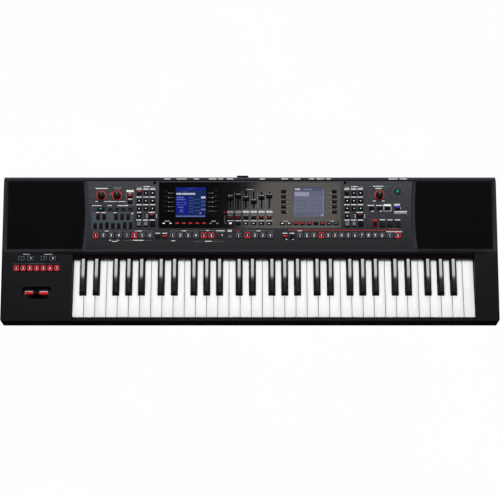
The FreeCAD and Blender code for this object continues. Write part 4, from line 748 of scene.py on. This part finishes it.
CHEEK_ROW = -17.8
cheek_caps = (-481, -461.5, -433.8, -415)
on_cap("cheek_dots", "cheek_buttons", white_ink, row_of(spot, cheek_caps[1::2], CHEEK_ROW, 1.5, 12))
on_cap("cheek_dashes", "cheek_buttons", grey_ink, row_of(bar, cheek_caps[::2], CHEEK_ROW, 3.6, 1.1))
on_cap("cheek_outlines", "cheek_buttons", teal_ink,
       row_of(box_line, [u - 0.5 for u in cheek_caps], CHEEK_ROW, 11.8, 8.0, 0.9))
film("cheek_labels", "case", pale_ink,
     words(-471.3, -9.2, 13.5, 1.4) + words(-425.6, -9.2, 17.5, 1.4), INK_LIFT)
cheek_lines = bar(-482.5, -29.2, 34, THIN) + bar(-417.5, -29.2, 30, THIN)
film("cheek_bracket", "case", slate_ink, cheek_lines + words(-449.5, -29.2, 32.0, 1.3), INK_LIFT)


# Lit pads: seven translucent dark red caps on the left end block, lit from below and numbered. The light is
# strongest along their front edges.

PAD_ROW = -38.4
PAD_SHADE = (-0.0535, -0.0445)
pads = spread(-491.6, -406.4, 7)


def lit_film():
    finish = Finish("lit_film", Emission_Strength=0.75, Roughness=0.35, Specular_IOR_Level=0.05)
    edge = finish.blend(finish.noise(90.0), ink(226, 70, 74), ink(240, 88, 90))
    finish.colour(ink(60, 13, 15))
    finish.glow(finish.blend(finish.ramp(finish.along("Y"), *PAD_SHADE), edge, ink(184, 40, 54)))
    return finish.material


dressed("lit_pads", cap_rubber("pad_cap", ink(46, 10, 12), ink(58, 13, 15)), 0.0006)
on_cap("pad_glow", "lit_pads", lit_film(),
       row_of(plate, pads, PAD_ROW, 10.8, 11.8, 1.8), CAP_GLOW)
on_cap("pad_rounds", "lit_pads", glowing("pad_shade", ink(112, 38, 60), 0.8),
       row_of(spot, pads, PAD_ROW, 3.7))
pad_digits = [face for i, u in enumerate(pads) for face in number(str(i + 1), u, PAD_ROW, 5.0)]
on_cap("pad_numbers", "lit_pads", white_ink, pad_digits, CAP_LENS)


# Slides, knobs and the power button: black moulded caps. Each slide has a light line across it, each knob a
# pointer, and the power button a green lens in a black bezel.

SLIDER_V = 110.2
SLIDER_REST = (5.1, 8.4, 3.0, -3.6, 5.4, 8.1)
POWER = (313.5, 126.5)
control_black = cap_rubber("control_black", ink(5, 5, 6), ink(8, 8, 9), 0.1)
line_grey = screen_ink("line_grey", ink(150, 150, 152), ink(172, 172, 174))
for index, (slider_u, rest) in enumerate(zip(SLIDER_U, SLIDER_REST)):
    slider = "slider_%d" % (index + 1)
    dressed(slider, control_black, CAP_EDGE)
    on_cap(slider + "_line", slider, line_grey, bar(slider_u, SLIDER_V + rest, 9.6, 1.2))
for knob, (knob_u, knob_v) in KNOBS.items():
    dressed(knob, control_black, 0.0012, 3, 30.0)
    on_cap(knob + "_pointer", knob, line_grey, bar(knob_u, knob_v + 3.7, 1.1, 4.0))
dressed("power_button", cap_rubber("power_bezel", ink(5, 5, 6), ink(8, 8, 9)), 0.0006, 3)
on_cap("power_lens", "power_button", green_lamp, spot(*POWER, 3.2, 32))
on_cap("power_ring", "power_button", slate_ink, loop(*POWER, 5.6, 0.4), CAP_INK + 0.01)


# Loudspeaker grilles: pressed steel sheet with fine holes on a hexagonal pitch and a plain rim, sprayed
# black. Behind them are black cloths, and the paper cones on pressed steel baskets.

GRILLE_PITCH = 3.4
GRILLE_W = -1.2
GRILLE_SHEET = 1.6
GRILLE_DIP = 0.3
GRILLE_INNER = 354.3
GRILLE_OUTER = 513.5
GRILLE_FRONT = 1.8
GRILLE_REAR = 148.3
GRILLE_BOW = 5.0
GRILLE_START = (346, 1.4)
GRILLE_ROWS = 60
GRILLE_COLUMNS = 52
RIM_WIDTH = 2.4
ARC_STEPS = 12
HOLE_SHARE = 0.34
HOLE_DEPTH = 0.3


def grille_edge(side, inset):
    """The outline of a grille: straight at its outer end, an arc at its inner end."""
    inner = GRILLE_INNER + inset
    outer = side * (GRILLE_OUTER - inset)
    low = GRILLE_FRONT + inset
    high = GRILLE_REAR - inset
    points = []
    for i in range(ARC_STEPS + 1):
        t = i / ARC_STEPS
        points.append((side * (inner - GRILLE_BOW * 4 * t * (1 - t)), low + (high - low) * t))
    return points + [(outer, high), (outer, low)]


def hole_tile():
    """One hexagonal cell of the sheet, a pitch wide, with a six-sided hole and the hole's wall."""
    points = []
    for radius, w in ((1 / math.sqrt(3), 0.0), (HOLE_SHARE, 0.0), (HOLE_SHARE, -HOLE_DEPTH)):
        for i in range(6):
            turn = math.radians(60 * i + 30)
            points.append((radius * math.cos(turn), radius * math.sin(turn), w))
    faces = []
    for ring_start in (0, 6):
        for i in range(6):
            j = (i + 1) % 6
            faces.append((ring_start + i, ring_start + j, ring_start + 6 + j, ring_start + 6 + i))
    mesh = bpy.data.meshes.new("hole_tile")
    mesh.from_pydata(points, [], faces)
    return mesh


def set_out(name, points, template, size, turn, finish):
    """A plain mesh of the template set at each point, made by a geometry tree with named inputs."""
    tree = bpy.data.node_groups.new(name, "GeometryNodeTree")
    inputs = {}
    for label, kind in (("Points", "Geometry"), ("Template", "Object"), ("Size", "Vector"),
                        ("Turn", "Vector"), ("Finish", "Material")):
        socket = tree.interface.new_socket(label, in_out="INPUT", socket_type="NodeSocket" + kind)
        inputs[label] = socket.identifier
    tree.interface.new_socket("Pieces", in_out="OUTPUT", socket_type="NodeSocketGeometry")
    start = tree.nodes.new("NodeGroupInput")
    end = tree.nodes.new("NodeGroupOutput")
    pattern = tree.nodes.new("GeometryNodeObjectInfo")
    rotation = tree.nodes.new("FunctionNodeEulerToRotation")
    instances = tree.nodes.new("GeometryNodeInstanceOnPoints")
    realized = tree.nodes.new("GeometryNodeRealizeInstances")
    coated = tree.nodes.new("GeometryNodeSetMaterial")
    for source, output, target, socket in (
            (start, "Template", pattern, "Object"), (start, "Turn", rotation, "Euler"),
            (start, "Points", instances, "Points"), (pattern, "Geometry", instances, "Instance"),
            (rotation, "Rotation", instances, "Rotation"), (start, "Size", instances, "Scale"),
            (instances, "Instances", realized, "Geometry"), (realized, "Geometry", coated, "Geometry"),
            (start, "Finish", coated, "Material"), (coated, "Geometry", end, "Pieces")):
        tree.links.new(source.outputs[output], target.inputs[socket])
    cloud = bpy.data.meshes.new(name)
    cloud.from_pydata(points, [], [])
    holder = bpy.data.objects.new(name, cloud)
    pattern_object = bpy.data.objects.new(name + "_template", template)
    bpy.context.scene.collection.objects.link(holder)
    modifier = holder.modifiers.new("set_out", "NODES")
    modifier.node_group = tree
    modifier[inputs["Template"]] = pattern_object
    modifier[inputs["Size"]] = size
    modifier[inputs["Turn"]] = turn
    modifier[inputs["Finish"]] = finish
    mesh = bpy.data.meshes.new_from_object(holder.evaluated_get(bpy.context.evaluated_depsgraph_get()))
    holder.modifiers.clear()
    holder.data = mesh
    bpy.data.objects.remove(pattern_object)
    return holder


def inside(outline, u, v):
    """Whether a point lies within a closed outline."""
    found = False
    for (u0, v0), (u1, v1) in zip(outline, outline[1:] + outline[:1]):
        if (v0 > v) != (v1 > v) and u < u0 + (u1 - u0) * (v - v0) / (v1 - v0):
            found = not found
    return found


def rim_mesh(name, w0, w1):
    """The plain rims of both grilles, folded down at their edges."""
    mesh = bpy.data.meshes.new(name)
    points = []
    faces = []
    section = ((0.0, w0), (0.0, w1 - 0.3), (0.3, w1), (RIM_WIDTH, w1), (RIM_WIDTH + 0.4, w1 - 0.35))
    for side in (-1, 1):
        start = len(points)
        rings = [[on_top(u, v, w) for u, v in grille_edge(side, inset)] for inset, w in section]
        count = len(rings[0])
        for ring_points in rings:
            points += ring_points
        for ring in range(len(rings) - 1):
            for i in range(count):
                j = (i + 1) % count
                a = start + ring * count
                face = (a + i, a + j, a + count + j, a + count + i)
                faces.append(face if side < 0 else face[::-1])
    mesh.from_pydata(points, [], faces)
    return mesh


grille_steel = case_plastic("grille_steel", ink(9, 10, 10), ink(12, 13, 13), 0.6, 0.03)
centres = []
for side in (-1, 1):
    pierced = grille_edge(side, 1.9)
    for row in range(GRILLE_ROWS):
        v = GRILLE_START[1] + row * GRILLE_PITCH * math.sqrt(3) / 2
        for column in range(GRILLE_COLUMNS):
            u = side * (GRILLE_START[0] + (column + 0.5 * (row % 2)) * GRILLE_PITCH)
            if inside(pierced, u, v):
                centres.append(on_top(u, v, GRILLE_W - GRILLE_DIP))
tile_size = (GRILLE_PITCH / 1000,) * 3
sheet = set_out("grille_sheets", centres, hole_tile(), tile_size, (SLOPE, 0, 0), grille_steel)
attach(sheet, "case")
rims = bpy.data.objects.new("grille_rims", rim_mesh("grille_rims", GRILLE_W - GRILLE_SHEET, GRILLE_W))
bpy.context.scene.collection.objects.link(rims)
rims.data.materials.append(grille_steel)
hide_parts("speaker_grilles")
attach(rims, "case")
grille_cloth = case_plastic("grille_cloth", ink(4, 4, 4), ink(6, 6, 6), 0.9, 0.0)
film("grille_cloths", "case", grille_cloth, [grille_edge(-1, 1.0), grille_edge(1, 1.0)[::-1]],
     GRILLE_W - GRILLE_SHEET + 0.05)
cone_paper = case_plastic("cone_paper", ink(8, 8, 8), ink(11, 11, 11), 0.8, 0.0)
basket_steel = case_plastic("basket_steel", ink(9, 9, 10), ink(13, 13, 14), 0.5, 0.05)
dressed("speaker_cones", cone_paper)
dressed("speaker_drivers", basket_steel)


# Keys: hollow ABS mouldings with a soft edge all round, the white ones polished, the black ones glossy on top
# with satin borders and sides. The white keys' upright sides are painted dark grey as shade between the keys.
# They rock on a beam under the lip, behind a strip of dark felt.

SATIN_BORDER = 0.0012
TOP_BAND = 0.004
LEVEL = 0.97
UPRIGHT = 0.95


def key_plastic(name, dark, light, roughness, coat, coat_ior):
    finish = Finish(name, Specular_IOR_Level=0.1, Coat_Weight=coat, Coat_Roughness=0.04, Coat_IOR=coat_ior)
    finish.colour(finish.blend(finish.noise(25.0), dark, light))
    finish.rough(roughness + 0.06 * finish.noise(300.0))
    return finish.material


white_key = key_plastic("white_key", ink(245, 245, 246), ink(249, 249, 250), 0.3, 0.2, 1.4)
key_side_shade = key_plastic("key_side_shade", ink(58, 57, 56), ink(72, 71, 70), 0.45, 0.0, 1.4)
black_key = key_plastic("black_key", ink(4, 4, 5), ink(6, 6, 7), 0.2, 1.0, 1.9)
for key in ("c", "d", "e", "f", "g", "a", "b"):
    white = dressed("keys_" + key, white_key, 0.0004, 1)
    # The upright sides of the white keys get a dark grey: painted shade in the gaps between keys.
    white.data.materials.append(key_side_shade)
    for face in white.data.polygons:
        face.material_index = 1 if abs(face.normal.x) > UPRIGHT else 0
sharp_side = key_plastic("sharp_side", ink(4, 4, 5), ink(6, 6, 7), 0.7, 0.0, 1.4)
for key in ("c_sharp", "d_sharp", "f_sharp", "g_sharp", "a_sharp"):
    black = dressed("keys_" + key, black_key, 0.0009, 3, 12.0)
    black.data.materials.append(sharp_side)
    work = bmesh.new()
    work.from_mesh(black.data)
    band = max(point.co.z for point in work.verts) - TOP_BAND
    tops = [face for face in work.faces if face.normal.z > LEVEL and face.calc_center_median().z > band]
    for face in work.faces:
        face.material_index = 1
    for face in tops:
        face.material_index = 0
    border = bmesh.ops.inset_region(work, faces=tops, thickness=SATIN_BORDER, use_even_offset=True)
    for face in border["faces"]:
        face.material_index = 1
    work.to_mesh(black.data)
    work.free()
felt_cloth = case_plastic("felt_cloth", ink(12, 7, 8), ink(20, 11, 12), 0.9, 0.0)
dressed("key_felts", felt_cloth)
chassis_steel = case_plastic("chassis_steel", ink(40, 41, 42), ink(52, 53, 54), 0.4)
spring_steel = case_plastic("spring_steel", ink(110, 112, 114), ink(132, 134, 136), 0.35)
dressed("keybed_chassis", chassis_steel)
dressed("key_springs", spring_steel)


# Bend lever: a black hub with a red grip at each end, on a yoke in its well in the left end block. A pale
# painted highlight lies along the rear edges of the grips.

HUB_U = -448.0
HUB_HALF = 0.0066
red_grip = polished("red_grip", ink(190, 20, 24), 0.3)
lever = dressed("bend_lever", red_grip, 0.0004, 2)
lever.data.materials.append(control_black)
lever.data.materials.append(cap_rubber("grip_edge_highlight", ink(176, 178, 182), ink(196, 198, 202)))
hub_x = on_top(HUB_U, 0, 0).x
for face in lever.data.polygons:
    normal = face.normal
    sloping = 0.25 < normal.z < 0.9 and (normal.y > 0.3 or abs(normal.x) > 0.3)
    if abs(face.center.x - hub_x) < HUB_HALF:
        face.material_index = 1
    # Sloping faces at the back and the outer ends of the grips are painted pale: a painted highlight.
    elif sloping and normal.y > -0.2:
        face.material_index = 2
    else:
        face.material_index = 0
well_grey = case_plastic("well_grey", ink(18, 18, 19), ink(26, 26, 27), 0.4, 0.3)
dressed("lever_housing", well_grey)
dressed("lever_yoke", control_black)


# Rear connectors and inner pieces: nylon sockets, nickelled shells, green boards, black potentiometers and
# rubber feet. Zinc-plated screws in the tub's floor hold the case together.

board_green = case_plastic("board_green", ink(22, 70, 44), ink(30, 88, 54), 0.4)
nylon_black = case_plastic("nylon_black", ink(16, 16, 17), ink(24, 24, 25), 0.5)
foot_rubber = case_plastic("foot_rubber", ink(24, 24, 24), ink(34, 34, 34), 0.8)
bright_nickel = case_plastic("bright_nickel", ink(150, 152, 155), ink(176, 178, 180), 0.25)
for inner_node, inner_finish, inner_slot in (
        ("circuit_boards", board_green, "board"), ("contact_board", board_green, "board"),
        ("potentiometers", nylon_black, "pot"), ("music_rest_sockets", nylon_black, "fitting"),
        ("phone_jacks", nylon_black, "fitting"), ("data_sockets", nylon_black, "fitting"),
        ("dc_inlet", nylon_black, "fitting"), ("usb_sockets", bright_nickel, "usb_shell"),
        ("feet", foot_rubber, "foot")):
    dressed(inner_node, inner_finish)

SCREW_RADIUS = 0.0035
SCREW_SIDES = 16
TUB_FLOOR_Z = 0.006


def screw_head():
    """A pan head of radius 1 with a cross recess, standing on the plane z = 0."""
    points = []
    faces = []
    for radius, height in ((1.0, 0.0), (0.96, 0.3), (0.72, 0.45)):
        for i in range(SCREW_SIDES):
            turn = math.tau * i / SCREW_SIDES
            points.append((radius * math.cos(turn), radius * math.sin(turn), height))
    for height, scale in ((0.45, 1.0), (0.1, 0.7)):
        for i in range(SCREW_SIDES):
            reach = (0.5, 0.5, 0.16, 0.16)[i % 4] * scale
            turn = math.tau * (i + 0.5) / SCREW_SIDES
            points.append((reach * math.cos(turn), reach * math.sin(turn), height))
    for ring in range(4):
        a = ring * SCREW_SIDES
        b = a + SCREW_SIDES
        for i in range(SCREW_SIDES):
            j = (i + 1) % SCREW_SIDES
            faces.append((a + i, a + j, b + j, b + i))
    faces.append([4 * SCREW_SIDES + i for i in range(SCREW_SIDES)])
    mesh = bpy.data.meshes.new("screw_head")
    mesh.from_pydata(points, [], faces)
    return mesh


screw_places = [(x, y, TUB_FLOOR_Z) for x in spread(-0.47, 0.47, 7) for y in (-0.125, -0.03, 0.115)]
screw_size = (SCREW_RADIUS,) * 3
screws = set_out("case_screws", screw_places, screw_head(), screw_size, (math.pi, 0, 0), bright_nickel)
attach(screws, "case")


# Studio: a white floor, a large soft box overhead and two at the front, one behind that the black keys mirror
# and the overlay doesn't, a small one overhead that the overlay mirrors, a low one for the back, and a camera
# above the front edge.

FLOOR_Z = -0.0003
FLOOR_HALF = 6
ELEVATION = math.radians(72.846)
DISTANCE = 3.1718
AIM = Vector((0.000228, -0.00502, 0.06))


def soft_box(name, centre, target, width, height, watts, turn=0.0, tone=(1, 1, 1)):
    lamp = bpy.data.lights.new(name, "AREA")
    lamp.shape = "RECTANGLE"
    lamp.size = width
    lamp.size_y = height
    lamp.energy = watts
    lamp.color = tone
    holder = bpy.data.objects.new(name, lamp)
    holder.location = centre
    aim = (Vector(target) - Vector(centre)).to_track_quat("-Z", "Y")
    holder.rotation_euler = (Euler((0, 0, turn)).to_quaternion() @ aim).to_euler()
    holder.visible_camera = False
    bpy.context.scene.collection.objects.link(holder)
    return holder


floor_mesh = bpy.data.meshes.new("floor")
floor_corners = [(x * FLOOR_HALF, y * FLOOR_HALF, FLOOR_Z) for x, y in ((-1, -1), (1, -1), (1, 1), (-1, 1))]
floor_mesh.from_pydata(floor_corners, [], [(0, 1, 2, 3)])
floor = bpy.data.objects.new("floor", floor_mesh)
bpy.context.scene.collection.objects.link(floor)
floor_paper = Finish("floor_paper", Emission_Strength=1.0, Roughness=0.9, Specular_IOR_Level=0.0)
floor_paper.colour(ink(6, 6, 6))
floor_paper.glow(floor_paper.blend(floor_paper.noise(3.0), ink(253, 253, 253), ink(255, 255, 255)))
floor_mesh.materials.append(floor_paper.material)
floor.visible_glossy = False
floor.visible_diffuse = False

world = bpy.data.worlds.new("studio")
world.use_nodes = True
world.node_tree.nodes["Background"].inputs["Color"].default_value = (1, 1, 1, 1)
world.node_tree.nodes["Background"].inputs["Strength"].default_value = 0.03
bpy.context.scene.world = world
bpy.context.scene.view_settings.view_transform = "Standard"
overhead = soft_box("overhead", (0, 0.5, 3.0), (0, 0.35, 0), 2.4, 1.3, 90)
overhead.visible_glossy = False
soft_box("left_front", (-1.7, -2.0, 1.7), (0, 0, 0.05), 1.6, 1.2, 5)
soft_box("right_front", (1.7, -2.0, 1.7), (0, 0, 0.05), 1.6, 1.2, 5)
rear_fill = soft_box("rear_fill", (0, 2.5, 0.45), (0, 0.1, 0.05), 4.0, 0.8, 48)
rear_fill.visible_glossy = False
key_mirror = soft_box("key_mirror", (0, 0.9524, 1.5), (0, 0.9524, 0), 2.8, 1.2, 55)
key_mirror.visible_diffuse = False
flagged = bpy.data.collections.new("flagged")
flagged.objects.link(overlay)
flagged.collection_objects[0].light_linking.link_state = "EXCLUDE"
key_mirror.light_linking.receiver_collection = flagged
overlay_mirror = soft_box("overlay_mirror", (0.193, 0.2553, 2.6), (0.193, 0.2553, 0), 0.373, 0.355, 0.54,
                          math.radians(-22.4), (1.0, 0.94, 0.88))
overlay_mirror.visible_diffuse = False

view = bpy.data.cameras.new("photo_view")
view.sensor_width = 36
view.lens = 107.797
camera = bpy.data.objects.new("photo_view", view)
camera.location = AIM + DISTANCE * Vector((0, -math.cos(ELEVATION), math.sin(ELEVATION)))
camera.rotation_euler = Euler((math.pi / 2 - ELEVATION, 0, 0))
bpy.context.scene.collection.objects.link(camera)
bpy.context.scene.camera = camera
